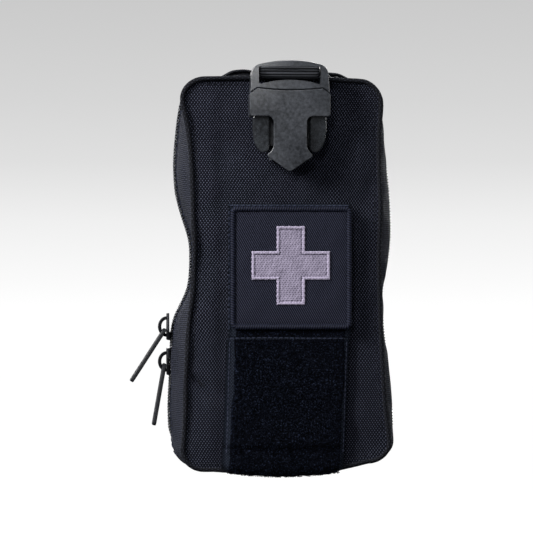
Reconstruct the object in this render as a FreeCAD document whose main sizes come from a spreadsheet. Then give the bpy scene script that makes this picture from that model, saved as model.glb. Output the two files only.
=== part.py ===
"""First-aid pouch: a zipped clamshell pouch with a quick-release buckle, a pull-off patch and a stowed tourniquet.

Frame: millimetres, +Z up, front towards -Y, origin at the centre of the base where the clamshell hinges.
"""
import FreeCAD, Part
import math
import os

import Sketcher
from FreeCAD import Vector

SIZES = (
    # name, millimetres, what it is
    ("pouch_width", 94.0, "outer width of both shells"),
    ("pouch_height", 165.2, "height of both shells"),
    ("pouch_floor", 1.8, "underside of the shells above the base"),
    ("half_depth", 33.0, "zipper plane to outer face of either panel"),
    ("corner_radius", 11.0, "outline corners"),
    ("wall", 2.4, "outer fabric, foam and lining together"),
    ("piping_radius", 1.8, "bound seam around each panel"),
    ("seam_gap", 0.1, "clearance between the two shells at the zipper plane"),
    ("strap_lap", 0.8, "rear base strap past the hinge line"),
    ("zipper_reach", 4.0, "zipper plane to edge of the gusset"),
    ("zipper_end", 20.0, "height where the zipper stops on both sides"),
    ("coil_inner", 0.5, "zipper plane to coil"),
    ("coil_outer", 2.4, "zipper plane to outer side of coil"),
    ("coil_proud", 1.0, "coil height outside the shell"),
    ("tape_sink", 0.3, "tape face below the shell face"),
    ("tape_thickness", 1.1, "zipper tape with its lining"),
    ("loop_width", 52.0, "hook-and-loop field"),
    ("loop_thickness", 1.5, "loop tape with its pile"),
    ("loop_split", 59.1, "height of the seam between field and strap"),
    ("loop_top", 114.5, "top of the loop field"),
    ("patch_width", 50.4, "patch over its merrowed edge"),
    ("patch_height", 50.8, "patch over its merrowed edge"),
    ("patch_centre", 88.2, "height of the patch centre"),
    ("patch_edge", 1.5, "width of the merrowed edge"),
    ("patch_thickness", 1.0, "twill and stabiliser"),
    ("hook_thickness", 0.9, "hook backing"),
    ("cross_span", 33.0, "embroidered cross, tip to tip"),
    ("cross_arm", 12.0, "width of one cross arm"),
    ("cross_height", 0.5, "embroidery above the twill"),
    ("webbing_width", 25.4, "one-inch webbing"),
    ("webbing_thickness", 1.5, "one-inch webbing"),
    ("buckle_width", 33.8, "socket over its band"),
    ("buckle_top", 174.6, "top of the plug frame"),
    ("socket_mouth", 162.0, "height of the socket mouth at its middle"),
    ("window_top", 151.4, "lower edge of the socket band"),
    ("tongue_tip", 128.3, "lowest point of the socket"),
    ("buckle_face", 43.9, "most forward point of the buckle"),
    ("buckle_bow", 200.0, "radius of the bowed buckle face"),
    ("buckle_skin", 1.5, "thickness of the front wall"),
    ("buckle_back", 34.8, "rear face of the buckle, forward of the zipper plane"),
    ("pals_height", 25.4, "one row of attachment webbing"),
    ("pals_pitch", 50.8, "row to row"),
    ("pals_first", 27.0, "underside of the lowest row"),
    ("molle_pitch", 38.1, "strap to strap"),
    ("molle_low", 9.0, "lower end of the attachment straps"),
    ("molle_pivot", 155.6, "height of their sewn upper end"),
    ("snap_radius", 6.0, "snap fastener cap"),
    ("handle_half", 28.0, "half span of the grab handle"),
    ("handle_top", 176.0, "top of the grab handle"),
    ("handle_bend", 9.0, "shoulder radius of the grab handle"),
    ("handle_front", 9.0, "zipper plane to front edge of the handle"),
    ("handle_width", 20.0, "handle webbing"),
    ("upper_slider", 63.0, "height of the upper slider"),
    ("lower_slider", 48.0, "height of the lower slider"),
    ("slider_length", 11.5, "slider along the zipper"),
    ("pull_length", 27.0, "moulded pull, pivot to end"),
    ("pull_cord", 1.7, "thickness of the pull"),
    ("tourniquet_width", 38.0, "tourniquet band"),
)

doc = FreeCAD.newDocument("first_aid_pouch")
sheet = doc.addObject("Spreadsheet::Sheet", "Sizes")
for row, (name, value, note) in enumerate(SIZES, 1):
    sheet.set(f"A{row}", name)
    sheet.set(f"B{row}", str(value))
    sheet.setAlias(f"B{row}", name)
    sheet.set(f"C{row}", note)
doc.recompute()

parts = []


def size(name):
    """The value of one sheet cell."""
    return float(sheet.get(name))


def bound(formula):
    """A formula in sheet names, written as the document expression that a property takes."""
    words = formula.replace("(", " ( ").replace(")", " ) ").split()
    known = {entry[0] for entry in SIZES}
    return " ".join(f"Sizes.{word}" if word in known else word for word in words)


def number(formula):
    """The present value of such a formula."""
    return float(sheet.evalExpression(bound(formula)))


def bind(thing, **formulas):
    """Ties properties of a document object to the sheet; a double underscore stands for a dot."""
    for key, formula in formulas.items():
        thing.setExpression(key.replace("__", "."), bound(formula))
    return thing


def place(thing, along_x="0", along_y="0", along_z="0"):
    """Ties the position of an object to the sheet."""
    return bind(thing, Placement__Base__x=along_x, Placement__Base__y=along_y, Placement__Base__z=along_z)


def finish(thing, label):
    """Names a finished sub-part, whose label names its file."""
    thing.Label = label
    parts.append(thing)
    return thing


def made(label, shape, placement=FreeCAD.Placement()):
    """A sub-part whose shape comes from Part's own functions."""
    thing = doc.addObject("Part::Feature", label)
    thing.Shape = shape
    thing.Placement = placement
    return finish(thing, label)


# ---------------------------------------------------------------- sketches and simple solids

def outline_sketch(body, name, plane_role="XZ_Plane"):
    """An empty sketch on one of the body's own origin planes."""
    plane = next(item for item in body.Origin.OriginFeatures if item.Role == plane_role)
    sketch = body.newObject("Sketcher::SketchObject", name)
    sketch.AttachmentSupport = [(plane, "")]
    sketch.MapMode = "FlatFace"
    return sketch


def add_rounded_rectangle(sketch, tag, width, height, radius):
    """A rounded rectangle centred on the sketch's origin, sized by formulas."""
    half_w, half_h, corner = number(width) / 2, number(height) / 2, number(radius)
    flat_w, flat_h = half_w - corner, half_h - corner
    first = sketch.GeometryCount
    runs = (
        ((-flat_w, -half_h), (flat_w, -half_h)),
        ((half_w, -flat_h), (half_w, flat_h)),
        ((flat_w, half_h), (-flat_w, half_h)),
        ((-half_w, flat_h), (-half_w, -flat_h)),
    )
    centres = ((flat_w, -flat_h), (flat_w, flat_h), (-flat_w, flat_h), (-flat_w, -flat_h))
    for index, (start, end) in enumerate(runs):
        sketch.addGeometry(Part.LineSegment(Vector(*start, 0), Vector(*end, 0)), False)
        circle = Part.Circle(Vector(*centres[index], 0), Vector(0, 0, 1), corner)
        begin = (index - 1) * math.pi / 2
        sketch.addGeometry(Part.ArcOfCircle(circle, begin, begin + math.pi / 2), False)
    lines = [first + 2 * index for index in range(4)]
    arcs = [line + 1 for line in lines]
    for index in range(4):
        after = lines[(index + 1) % 4]
        sketch.addConstraint(Sketcher.Constraint("Tangent", lines[index], 2, arcs[index], 1))
        sketch.addConstraint(Sketcher.Constraint("Tangent", arcs[index], 2, after, 1))
    sketch.addConstraint(Sketcher.Constraint("Horizontal", lines[0]))
    sketch.addConstraint(Sketcher.Constraint("Vertical", lines[1]))
    for arc in arcs[1:]:
        sketch.addConstraint(Sketcher.Constraint("Equal", arcs[0], arc))
    sketch.addConstraint(Sketcher.Constraint("Symmetric", arcs[3], 3, arcs[1], 3, -1, 1))
    named = (
        ("radius", Sketcher.Constraint("Radius", arcs[0], corner), radius),
        ("width", Sketcher.Constraint("DistanceX", lines[3], 1, lines[1], 2, 2 * half_w), width),
        ("height", Sketcher.Constraint("DistanceY", lines[0], 1, lines[2], 2, 2 * half_h), height),
    )
    for word, constraint, formula in named:
        index = sketch.addConstraint(constraint)
        sketch.renameConstraint(index, f"{tag}_{word}")
        sketch.setExpression(f"Constraints.{tag}_{word}", bound(formula))


def slab(name, width, height, radius, depth, back, centre, inner=None):
    """A rounded plate across Y, or a ring if inner says how wide its band is; back is its rear face."""
    body = doc.addObject("PartDesign::Body", name)
    sketch = outline_sketch(body, f"{name}_outline")
    add_rounded_rectangle(sketch, "outer", width, height, radius)
    if inner:
        add_rounded_rectangle(
            sketch, "inner", f"{width} - 2 * ( {inner} )", f"{height} - 2 * ( {inner} )",
            f"{radius} - ( {inner} )")
    pad = body.newObject("PartDesign::Pad", f"{name}_pad")
    pad.Profile = sketch
    bind(pad, Length=depth)
    body.Tip = pad
    return place(body, "0", back, centre)


def block(name, low, across):
    """A Part::Box from its lowest corner and its three sizes, all formulas."""
    box = doc.addObject("Part::Box", name)
    bind(box, Length=across[0], Width=across[1], Height=across[2])
    return place(box, *low)


def cut(name, base, tool):
    """A Part::Cut of two document objects."""
    thing = doc.addObject("Part::Cut", name)
    thing.Base, thing.Tool = base, tool
    return thing


def prism(points, low, high, axis="x"):
    """A prism: a closed outline, in the two axes that are left, drawn out from low to high along axis."""
    to_space = {
        "x": lambda a, b: Vector(low, a, b),
        "y": lambda a, b: Vector(a, low, b),
        "z": lambda a, b: Vector(a, b, low),
    }[axis]
    along = {"x": Vector(1, 0, 0), "y": Vector(0, 1, 0), "z": Vector(0, 0, 1)}[axis]
    wire = Part.makePolygon([to_space(*point) for point in (*points, points[0])])
    return Part.Face(wire).extrude(along * (high - low))


def solid_box(low, high):
    """A plain box between two corners."""
    return Part.makeBox(*(b - a for a, b in zip(low, high)), Vector(*low))


def rod(centre, radius, length, axis):
    """A cylinder whose middle is at centre."""
    direction = Vector(*axis)
    start = Vector(*centre) - direction * (length / 2)
    return Part.makeCylinder(radius, length, start, direction)


def joined(*shapes):
    """One clean solid out of several that touch or overlap."""
    return shapes[0].fuse(list(shapes[1:])).removeSplitter()


def softened(shape, radius, wanted=lambda edge: True):
    """The shape with the chosen edges rounded."""
    return shape.makeFillet(radius, [edge for edge in shape.Edges if wanted(edge)])


def lies_along(direction):
    """Chooses straight edges that run along one direction."""
    def chosen(edge):
        if not isinstance(edge.Curve, Part.Line):
            return False
        return abs(abs(edge.Curve.Direction.dot(Vector(*direction))) - 1) < 1e-6
    return chosen


# ---------------------------------------------------------------- the two shells

SHELL_CENTRE = "pouch_floor + pouch_height / 2"


def piping(label, side):
    """The bound seam: a round tube along the panel's outline."""
    radius = size("piping_radius")
    half_w = size("pouch_width") / 2 - radius
    half_h = size("pouch_height") / 2 - radius
    corner = size("corner_radius") - radius
    depth = side * (size("half_depth") - radius)
    middle = number(SHELL_CENTRE)

    def at(across, up):
        return Vector(across, depth, middle + up)

    edges = []
    corners = ((1, -1), (1, 1), (-1, 1), (-1, -1))
    for index, (sx, sz) in enumerate(corners):
        nx, nz = corners[(index + 1) % 4]
        hub = (sx * (half_w - corner), sz * (half_h - corner))
        ends = [(sx * half_w, hub[1]), (hub[0], sz * half_h)]
        if sx * sz < 0:
            ends.reverse()
        bend = (hub[0] + sx * corner * math.sqrt(0.5), hub[1] + sz * corner * math.sqrt(0.5))
        edges.append(Part.Arc(at(*ends[0]), at(*bend), at(*ends[1])).toShape())
        onward = (nx * half_w, nz * (half_h - corner)) if sx == nx else (nx * (half_w - corner), nz * half_h)
        edges.append(Part.LineSegment(at(*ends[1]), at(*onward)).toShape())
    path = Part.Wire(Part.__sortEdges__(edges))
    start = path.Edges[0].valueAt(path.Edges[0].FirstParameter)
    heading = path.Edges[0].tangentAt(path.Edges[0].FirstParameter)
    ring = Part.Wire([Part.Circle(start, heading, radius).toShape()])
    tube = path.makePipeShell([ring], True, False)
    expected = math.pi * radius ** 2 * path.Length
    if abs(tube.Volume / expected - 1) > 0.01:
        raise RuntimeError(f"{label}: the tube's volume is off")
    return made(label, tube)


def shell_half(prefix, panel_label, side):
    """Panel, piping, gusset, zipper tape and zipper coil of one half."""
    rear = side > 0
    panel = slab(
        panel_label, "pouch_width - 4 * piping_radius", "pouch_height - 4 * piping_radius",
        "corner_radius - 2 * piping_radius", "wall",
        "half_depth" if rear else "wall - half_depth", SHELL_CENTRE)
    finish(panel, panel_label)
    piping(f"{prefix}_piping", side)

    reach = "half_depth - 2 * piping_radius - seam_gap"
    band = slab(
        f"{prefix}_gusset_band", "pouch_width", "pouch_height", "corner_radius",
        "half_depth - 2 * piping_radius - 2 * seam_gap", reach if rear else "0 - seam_gap",
        SHELL_CENTRE, inner="wall")
    notch = block(
        f"{prefix}_zipper_notch", ("0 - pouch_width", "0" if rear else "0 - zipper_reach", "zipper_end"),
        ("2 * pouch_width", "zipper_reach", "2 * pouch_height"))
    finish(cut(f"{prefix}_gusset", band, notch), f"{prefix}_gusset")

    tape_band = slab(
        f"{prefix}_tape_band", "pouch_width - 2 * tape_sink", "pouch_height - 2 * tape_sink",
        "corner_radius - tape_sink", "zipper_reach - coil_inner - 0.05",
        "zipper_reach - 0.05" if rear else "0 - coil_inner", SHELL_CENTRE, inner="tape_thickness")
    finish(cut(f"{prefix}_zipper_tape", tape_band, below_zipper(f"{prefix}_tape")), f"{prefix}_zipper_tape")

    coil_band = slab(
        f"{prefix}_coil_band", "pouch_width + 2 * coil_proud", "pouch_height + 2 * coil_proud",
        "corner_radius + coil_proud", "coil_outer - coil_inner",
        "coil_outer" if rear else "0 - coil_inner", SHELL_CENTRE, inner="coil_proud + tape_sink - 0.15")
    finish(cut(f"{prefix}_zipper_coil", coil_band, below_zipper(f"{prefix}_coil")), f"{prefix}_zipper_coil")


def below_zipper(name):
    """Everything under the height where the zipper stops."""
    return block(
        f"{name}_foot", ("0 - pouch_width", "0 - half_depth", "0 - pouch_height"),
        ("2 * pouch_width", "2 * half_depth", "pouch_height + zipper_end + 0.05"))


# ---------------------------------------------------------------- loop tape and patch

def loop_tapes():
    """The loop field on the front and the loop-faced strap that wraps under the base."""
    field = block(
        "loop_field",
        ("0 - loop_width / 2", "0 - half_depth - loop_thickness - 0.05", "loop_split + 0.1"),
        ("loop_width", "loop_thickness", "loop_top - loop_split - 0.1"))
    finish(field, "loop_field")

    half = size("loop_width") / 2
    thick = size("loop_thickness")
    inner = -size("half_depth") - 0.05
    bend = 2.0
    hub = Vector(-half, inner + bend, thick + bend)
    whole = Part.makeCylinder(bend + thick, 2 * half, hub, Vector(1, 0, 0))
    hollow = Part.makeCylinder(bend, 2 * half, hub, Vector(1, 0, 0))
    corner = whole.cut(hollow).common(solid_box((-half, inner - thick, 0), (half, hub.y, hub.z)))
    upright = solid_box((-half, inner - thick, hub.z), (half, inner, size("loop_split")))
    under = solid_box((-half, hub.y, 0), (half, -size("strap_lap") - 0.3, thick))
    made("base_strap_front", joined(upright, corner, under))

    rear = block(
        "base_strap_rear", ("0 - loop_width / 2", "0 - strap_lap", "0"),
        ("loop_width", "half_depth - 4 + strap_lap", "loop_thickness"))
    finish(rear, "base_strap_rear")


def patch():
    """Hook backing, twill, merrowed edge and embroidered cross."""
    hook_back = "0 - half_depth - loop_thickness - 0.15"
    twill_back = f"{hook_back} - hook_thickness"
    backing = slab(
        "patch_hook_backing", "patch_width - 2 * patch_edge", "patch_height - 2 * patch_edge", "1.5",
        "hook_thickness", hook_back, "patch_centre")
    finish(backing, "patch_hook_backing")
    twill = slab(
        "patch_twill", "patch_width - 2 * patch_edge - 0.1", "patch_height - 2 * patch_edge - 0.1", "1.4",
        "patch_thickness", twill_back, "patch_centre")
    finish(twill, "patch_twill")
    edge = slab(
        "patch_merrowed_edge", "patch_width", "patch_height", "patch_edge + 1.5",
        "patch_thickness + 0.7", f"{twill_back} + 0.4", "patch_centre", inner="patch_edge - 0.02")
    finish(edge, "patch_merrowed_edge")

    span, arm = size("cross_span") / 2, size("cross_arm") / 2
    quarter = ((arm, span), (arm, arm), (span, arm))
    outline = []
    for turn in range(4):
        for across, up in quarter:
            for _ in range(turn):
                across, up = up, -across
            outline.append((across, up + size("patch_centre")))
    back = number(f"{twill_back} - patch_thickness")
    made("patch_cross", prism(outline, back - size("cross_height"), back, "y"))


# ---------------------------------------------------------------- buckle

BAR_PLUG = (-37.0, 170.25)      # plug's webbing bar, in Y and Z
BAR_SOCKET = (-36.1, 134.6)     # socket's webbing bar
BAR_RADIUS = 1.25
TUNNEL_HALF = 15.8              # half width inside the socket's band
TUNNEL_BACK = -36.4             # front of the socket's rear wall
FACE_FRONT = -46.0              # ahead of everything in the buckle
BOW_CENTRE = 154.0              # height at which the buckle's face is furthest forward
CROWN = 95.0                    # radius of its face across the width
WINDOW_HALF = 13.1              # half width of the plug's window


def profile(start, *steps):
    """A closed outline in X and Z: a step is a point to run straight to, or a pair, an arc's middle and end."""
    def flat(point):
        return Vector(point[0], FACE_FRONT, point[1])

    edges = []
    here = start
    for step in (*steps, start):
        if isinstance(step[0], tuple):
            edges.append(Part.Arc(flat(here), flat(step[0]), flat(step[1])).toShape())
            here = step[1]
        elif step != here:
            edges.append(Part.LineSegment(flat(here), flat(step)).toShape())
            here = step
    return Part.Face(Part.Wire(edges))


def both_halves(face, back):
    """A plate from a right-hand outline and its mirror image, from ahead of the buckle to its back."""
    right = face.extrude(Vector(0, back - FACE_FRONT, 0))
    return joined(right, right.mirror(Vector(0, 0, 0), Vector(1, 0, 0)))


def bow_hub():
    """A point on the axis that the buckle's face is bowed around."""
    return Vector(0, size("buckle_bow") - size("buckle_face"), BOW_CENTRE)


def bow_radius(across, depth):
    """Distance from the bow's axis of the surface that lies this deep under the face."""
    return size("buckle_bow") - depth - CROWN + math.sqrt(CROWN ** 2 - across ** 2)


def inside_bow(depth):
    """Everything deeper than this under the buckle's face, which is bowed in height and crowned across."""
    hub, wide = bow_hub(), 40
    ends = [hub + Vector(x, -bow_radius(x, depth), 0) for x in (-wide, 0, wide)]
    rim = [
        Part.Arc(*ends).toShape(),
        Part.LineSegment(ends[2], hub + Vector(wide, 0, 0)).toShape(),
        Part.LineSegment(hub + Vector(wide, 0, 0), hub - Vector(wide, 0, 0)).toShape(),
        Part.LineSegment(hub - Vector(wide, 0, 0), ends[0]).toShape(),
    ]
    return Part.Face(Part.Wire(rim)).revolve(hub, Vector(1, 0, 0), 360)


def on_bow(depth):
    """Chooses the edges that lie on the bowed surface this deep under the face."""
    def chosen(edge):
        middle = edge.valueAt((edge.FirstParameter + edge.LastParameter) / 2) - bow_hub()
        return abs(math.hypot(middle.y, middle.z) - bow_radius(middle.x, depth)) < 0.01
    return chosen


def buckle_socket():
    """The front half of the side-release buckle, with its band, tongue, rear wall and webbing bar."""
    half = size("buckle_width") / 2
    mouth, window, tip = size("socket_mouth"), size("window_top"), size("tongue_tip")
    back = -size("buckle_back")
    face = profile(
        (0, mouth), ((7, mouth + 0.27), (13.6, mouth + 1)), (half, mouth - 1.4),
        (half - 0.1, window + 1.1), ((half - 0.4, window + 0.35), (half - 1.1, window)), (9.6, window),
        ((7.7, window - 0.8), (6.9, window - 2.8)), (6.9, 140.4), ((7.3, 137.9), (8.8, 135.9)),
        ((9.3, 134.95), (8.6, 134.1)), (1.2, tip + 0.7), ((0.66, tip + 0.42), (0, tip + 0.33)))
    front = both_halves(face, back).common(inside_bow(0)).cut(inside_bow(size("buckle_skin")))
    front = softened(front, 0.28, on_bow(0))
    sides = [
        solid_box((x, FACE_FRONT, window + 0.5), (x + half - 0.1 - TUNNEL_HALF, back, mouth - 1.6))
        for x in (TUNNEL_HALF, 0.1 - half)
    ]
    ribs = [solid_box((x, FACE_FRONT, 138.6), (x + 1.2, back, window + 1)) for x in (5.3, -6.5)]
    cheeks = [solid_box((x, FACE_FRONT, 133.2), (x + 1.0, back + 0.2, 136.0)) for x in (7.2, -8.2)]
    inner = [shape.common(inside_bow(size("buckle_skin") - 0.2)) for shape in (*sides, *ribs, *cheeks)]
    wall = profile(
        (0, mouth - 1.6), (half - 0.1, mouth - 1.6), (half - 0.1, window), (13.5, window), (12.5, 139.4), (0, 139.4))
    rear = both_halves(wall, back).cut(solid_box((-half, FACE_FRONT, 100), (half, TUNNEL_BACK, 200)))
    bar = rod((0, *BAR_SOCKET), BAR_RADIUS, 15.8, (1, 0, 0))
    made("buckle_socket", joined(front, rear, bar, *inner))


def buckle_plug():
    """The sliding half: frame with its window and webbing bar, shoulders and central guide blade."""
    half = size("buckle_width") / 2
    top, mouth, clear = size("buckle_top"), size("socket_mouth"), 0.3
    face = profile(
        (0, top), ((7, top - 0.42), (13.3, top - 1.7)), ((15.2, top - 3.2), (half - 0.75, top - 6.2)),
        (half - 0.3, mouth - 1.4 + 0.52), (13.78, mouth + 1.24), ((7, mouth + 0.57), (0, mouth + clear)))
    sill = mouth + 2.8
    opening = profile(
        (0, sill + 1.6), ((6.4, sill + 1.2), (11.9, sill)), ((12.8, sill + 0.2), (WINDOW_HALF, sill + 1)),
        (WINDOW_HALF, top - 2.5), (0, top - 2.5))
    frame = softened(both_halves(face, -36.0).common(inside_bow(0)), 0.42, on_bow(0))
    strap_room = solid_box((-WINDOW_HALF, -40.3, sill + 2.5), (WINDOW_HALF, -30, top + 1))
    frame = frame.cut(both_halves(opening, -30)).cut(strap_room)
    bar = rod((0, *BAR_PLUG), BAR_RADIUS, 2 * WINDOW_HALF + 1, (1, 0, 0))
    blade = solid_box((-4.4, -41.0, 140.4), (4.4, -37.0, mouth + 1.5))
    blade = softened(blade, 1.2, lies_along((0, 0, 1)))
    made("plug_frame", joined(frame, bar, blade))


def buckle_prong(label, side):
    """One spring arm of the plug with its thumb button, which shows in the socket's window."""
    window = size("window_top")
    depth = size("buckle_skin") + 0.7
    head = profile(
        (8.4, window + 0.9), (13.6, window + 0.9), ((15.0, window + 0.2), (15.4, window - 1.6)),
        ((15.55, window - 4.5), (15.2, window - 7.6)), ((14.3, window - 11.6), (12.4, window - 14.3)),
        ((11.4, window - 15.0), (10.2, window - 14.9)), ((8.9, window - 14.4), (8.4, window - 13.0)))
    button = head.extrude(Vector(0, -36.8 - FACE_FRONT, 0)).common(inside_bow(depth))
    button = softened(button, 0.8, on_bow(depth))
    arm = solid_box((10.2, -40.6, window), (12.6, -37.4, size("socket_mouth") - 0.1))
    prong = joined(button, arm)
    made(label, prong if side > 0 else prong.mirror(Vector(0, 0, 0), Vector(1, 0, 0)))


def looped_webbing(label, width, bar, tail):
    """Webbing sewn back on itself around a bar; tail is the box that its sewn plies fill."""
    thick = size("webbing_thickness")
    bore = BAR_RADIUS + 0.2
    low, high = tail
    body = joined(
        rod((0, *bar), bore + thick, width, (1, 0, 0)),
        solid_box((-width / 2, *low), (width / 2, *high)))
    made(label, body.cut(rod((0, *bar), bore, width + 2, (1, 0, 0))))


def buckle():
    """Both halves of the buckle and the two pieces of webbing that hold it."""
    buckle_socket()
    buckle_plug()
    buckle_prong("prong_left", -1)
    buckle_prong("prong_right", 1)
    shell_top = number("pouch_floor + pouch_height")
    looped_webbing(
        "top_strap", size("webbing_width"), BAR_PLUG,
        ((BAR_PLUG[0], shell_top + 0.05), (-5.0, shell_top + 0.05 + 2 * size("webbing_thickness"))))
    face = -size("half_depth") - 0.05
    looped_webbing(
        "socket_tab", 14.0, BAR_SOCKET,
        ((face - 1.4, BAR_SOCKET[1]), (face, 150.0)))


# ---------------------------------------------------------------- zipper sliders and pulls

def bail_face():
    """The outer face of a slider, which its bail stands on."""
    return -size("pouch_width") / 2 - size("coil_proud") - 1.3


def slider(prefix, height, nose):
    """Slider body with plates outside and inside the chain, and the bail that carries the pull."""
    half = size("slider_length") / 2
    outside = (bail_face(), bail_face() + 1.0)
    inside = (-45.3, -44.3)
    wing = prism(
        [(-2.6, height - nose * half), (2.6, height - nose * half), (4.5, height + nose * 1.5),
         (4.0, height + nose * half), (-4.0, height + nose * half), (-4.5, height + nose * 1.5)],
        *outside, "x")
    wing = softened(wing, 0.4, lambda edge: abs(edge.CenterOfMass.x - outside[0]) < 0.01)
    keel = solid_box((inside[0], -3.6, height - half), (inside[1], 3.6, height + half))
    ends = sorted((height + nose * (half - 3.5), height + nose * half))
    post = solid_box((outside[0] + 0.4, -0.35, ends[0]), (inside[1], 0.35, ends[1]))
    made(f"{prefix}_slider_body", joined(wing, keel, post))

    tall, proud, bar = 4.4, 3.7, 1.45
    hub = Vector(outside[0] - 0.02, -1.0, height)
    arch = oval_plate(hub, tall, proud, 2.0)
    gap = oval_plate(hub, tall - bar, proud - bar, 2.0)
    half_space = solid_box((hub.x - 10, -2, height - 10), (hub.x, 2, height + 10))
    made(f"{prefix}_slider_bail", softened(arch.cut(gap).common(half_space), 0.4, round_rim))


def oval_plate(hub, tall, proud, thick):
    """An elliptical plate, tall along z and proud along x, that runs from hub along y."""
    rim = Part.Ellipse(hub + Vector(0, 0, tall), hub + Vector(proud, 0, 0), hub)
    return Part.Face(Part.Wire(rim.toShape())).extrude(Vector(0, thick, 0))


def round_rim(edge):
    """Chooses the long curved rims of a bail."""
    return isinstance(edge.Curve, Part.Ellipse) and edge.Length > 5


def pull(prefix, height, lean):
    """A moulded pull: a loop through the bail whose two legs run into a ribbed grip. lean is its angle outwards."""
    half = size("pull_cord") / 2
    long = size("pull_length") - half
    gap, reach, grip_from = 1.35, 3.05, 14.0
    plate = solid_box((-half, -reach, -long), (half, reach, 0))
    plate = softened(plate, 1.4, lambda edge: lies_along((1, 0, 0))(edge) and edge.CenterOfMass.z < -1)
    plate = softened(plate, 0.5, lambda edge: edge.CenterOfMass.z < 0.5 - long)
    head = rod((0, 0, 0), half, 2 * reach, (0, 1, 0))
    slot = solid_box((-half - 1, -gap, -grip_from), (half + 1, gap, half + 1))
    pin = rod((0, 0, 0), 0.6, 2 * gap, (0, 1, 0))
    grooves = [
        rod((side * (half + 0.35), 0, -grip_from - 3 - 2.2 * step), 0.6, 4.2, (0, 1, 0))
        for side in (-1, 1) for step in range(4)
    ]
    body = joined(plate, head).cut(slot).fuse(pin).cut(grooves)
    pivot = Vector(bail_face() - 1.0, 0, height - 1.6)
    made(f"{prefix}_pull", body, FreeCAD.Placement(pivot, FreeCAD.Rotation(Vector(0, 1, 0), lean)))


# ---------------------------------------------------------------- rear side

def rear_webbing():
    """Attachment rows, their two snap-down straps and the grab handle."""
    rows = []
    for index in range(3):
        rows.append(solid_box(
            (-40, size("half_depth") + 0.05, size("pals_first") + index * size("pals_pitch")),
            (40, size("half_depth") + 1.45,
             size("pals_first") + index * size("pals_pitch") + size("pals_height"))))
    made("pals_rows", Part.makeCompound(rows))

    rear_face = size("half_depth") + 1.6
    thick = size("webbing_thickness")
    low, pivot = size("molle_low"), size("molle_pivot")
    snap = low + 8
    anchors = []
    for word, side in (("left", -1), ("right", 1)):
        centre = side * size("molle_pitch") / 2
        half = size("webbing_width") / 2
        strap = solid_box((centre - half, rear_face, low), (centre + half, rear_face + thick, pivot - 0.1))
        strap = softened(strap, 4, lambda edge: lies_along((0, 1, 0))(edge) and edge.CenterOfMass.z < low + 1)
        hole = rod((centre, rear_face, snap), 2.3, 20, (0, 1, 0))
        made(f"molle_strap_{word}", strap.cut(hole))
        anchors.append(solid_box(
            (centre - half, size("half_depth") + 0.05, pivot), (centre + half, rear_face - 0.05, pivot + 6.5)))
        cap = Part.makeCylinder(size("snap_radius"), 2.0, Vector(centre, rear_face + thick, snap), Vector(0, 1, 0))
        made(f"snap_cap_{word}", softened(cap, 1.2, lambda edge: edge.CenterOfMass.y > rear_face + thick + 1))
        base = Part.makeCylinder(
            size("snap_radius"), 1.0, Vector(centre, size("half_depth") + 0.05, snap), Vector(0, 1, 0))
        stud = Part.makeCylinder(
            1.9, rear_face + thick - size("half_depth") - 0.25, Vector(centre, size("half_depth") + 0.05, snap),
            Vector(0, 1, 0))
        made(f"snap_stud_{word}", joined(base, stud))
    made("molle_strap_anchors", Part.makeCompound(anchors))


def grab_handle():
    """An arched webbing handle with two sewn feet on the rear shell's top."""
    thick = 1.8
    front = size("handle_front")
    back = front + size("handle_width")
    foot = number("pouch_floor + pouch_height") + 0.05
    half, top, bend = size("handle_half"), size("handle_top"), size("handle_bend")
    outer = softened(
        solid_box((-half, front, foot), (half, back, top)), bend - 0.2,
        lambda edge: lies_along((0, 1, 0))(edge) and edge.CenterOfMass.z > top - 0.1)
    inner = softened(
        solid_box((thick - half, front, foot - 5), (half - thick, back, top - thick)), bend - 0.2 - thick,
        lambda edge: lies_along((0, 1, 0))(edge) and edge.CenterOfMass.z > foot)
    feet = [
        solid_box((x, front, foot), (x + 12, back, foot + thick)) for x in (half - thick, thick - half - 12)
    ]
    made("grab_handle", joined(outer.cut(inner), *feet))


# ---------------------------------------------------------------- inside

def interior():
    """Back board and elastic loops in the rear shell, open pocket in the front shell."""
    board = slab(
        "back_board", "pouch_width - 2 * wall - 4", "pouch_height - 2 * wall - 4", "10", "1.4",
        "half_depth - wall - 0.1", SHELL_CENTRE)
    finish(board, "back_board")

    rear = number("half_depth - wall - 1.55")
    bands = []
    for low in (34.0, 108.0):
        outer = softened(solid_box((-25, 2.2, low), (25, rear, low + 25)), 4, front_edges)
        inner = softened(solid_box((-23.8, 3.4, low - 1), (23.8, rear + 9, low + 26)), 2.8, front_edges)
        wings = [solid_box((x, rear - 1.2, low), (x + 9, rear, low + 25)) for x in (24, -33)]
        bands.append(joined(outer.cut(inner), *wings))
    made("elastic_loops", Part.makeCompound(bands))

    back = number("wall - half_depth + 0.1")
    outside = solid_box((-38, back, 14), (38, back + 8.4, 108))
    inside = solid_box((-37, back + 1.0, 15), (37, back + 7.4, 109))
    made("inner_pocket", outside.cut(inside))


def front_edges(edge):
    """Chooses the upright edges nearest the zipper plane."""
    return lies_along((0, 0, 1))(edge) and edge.CenterOfMass.y < 10


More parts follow.
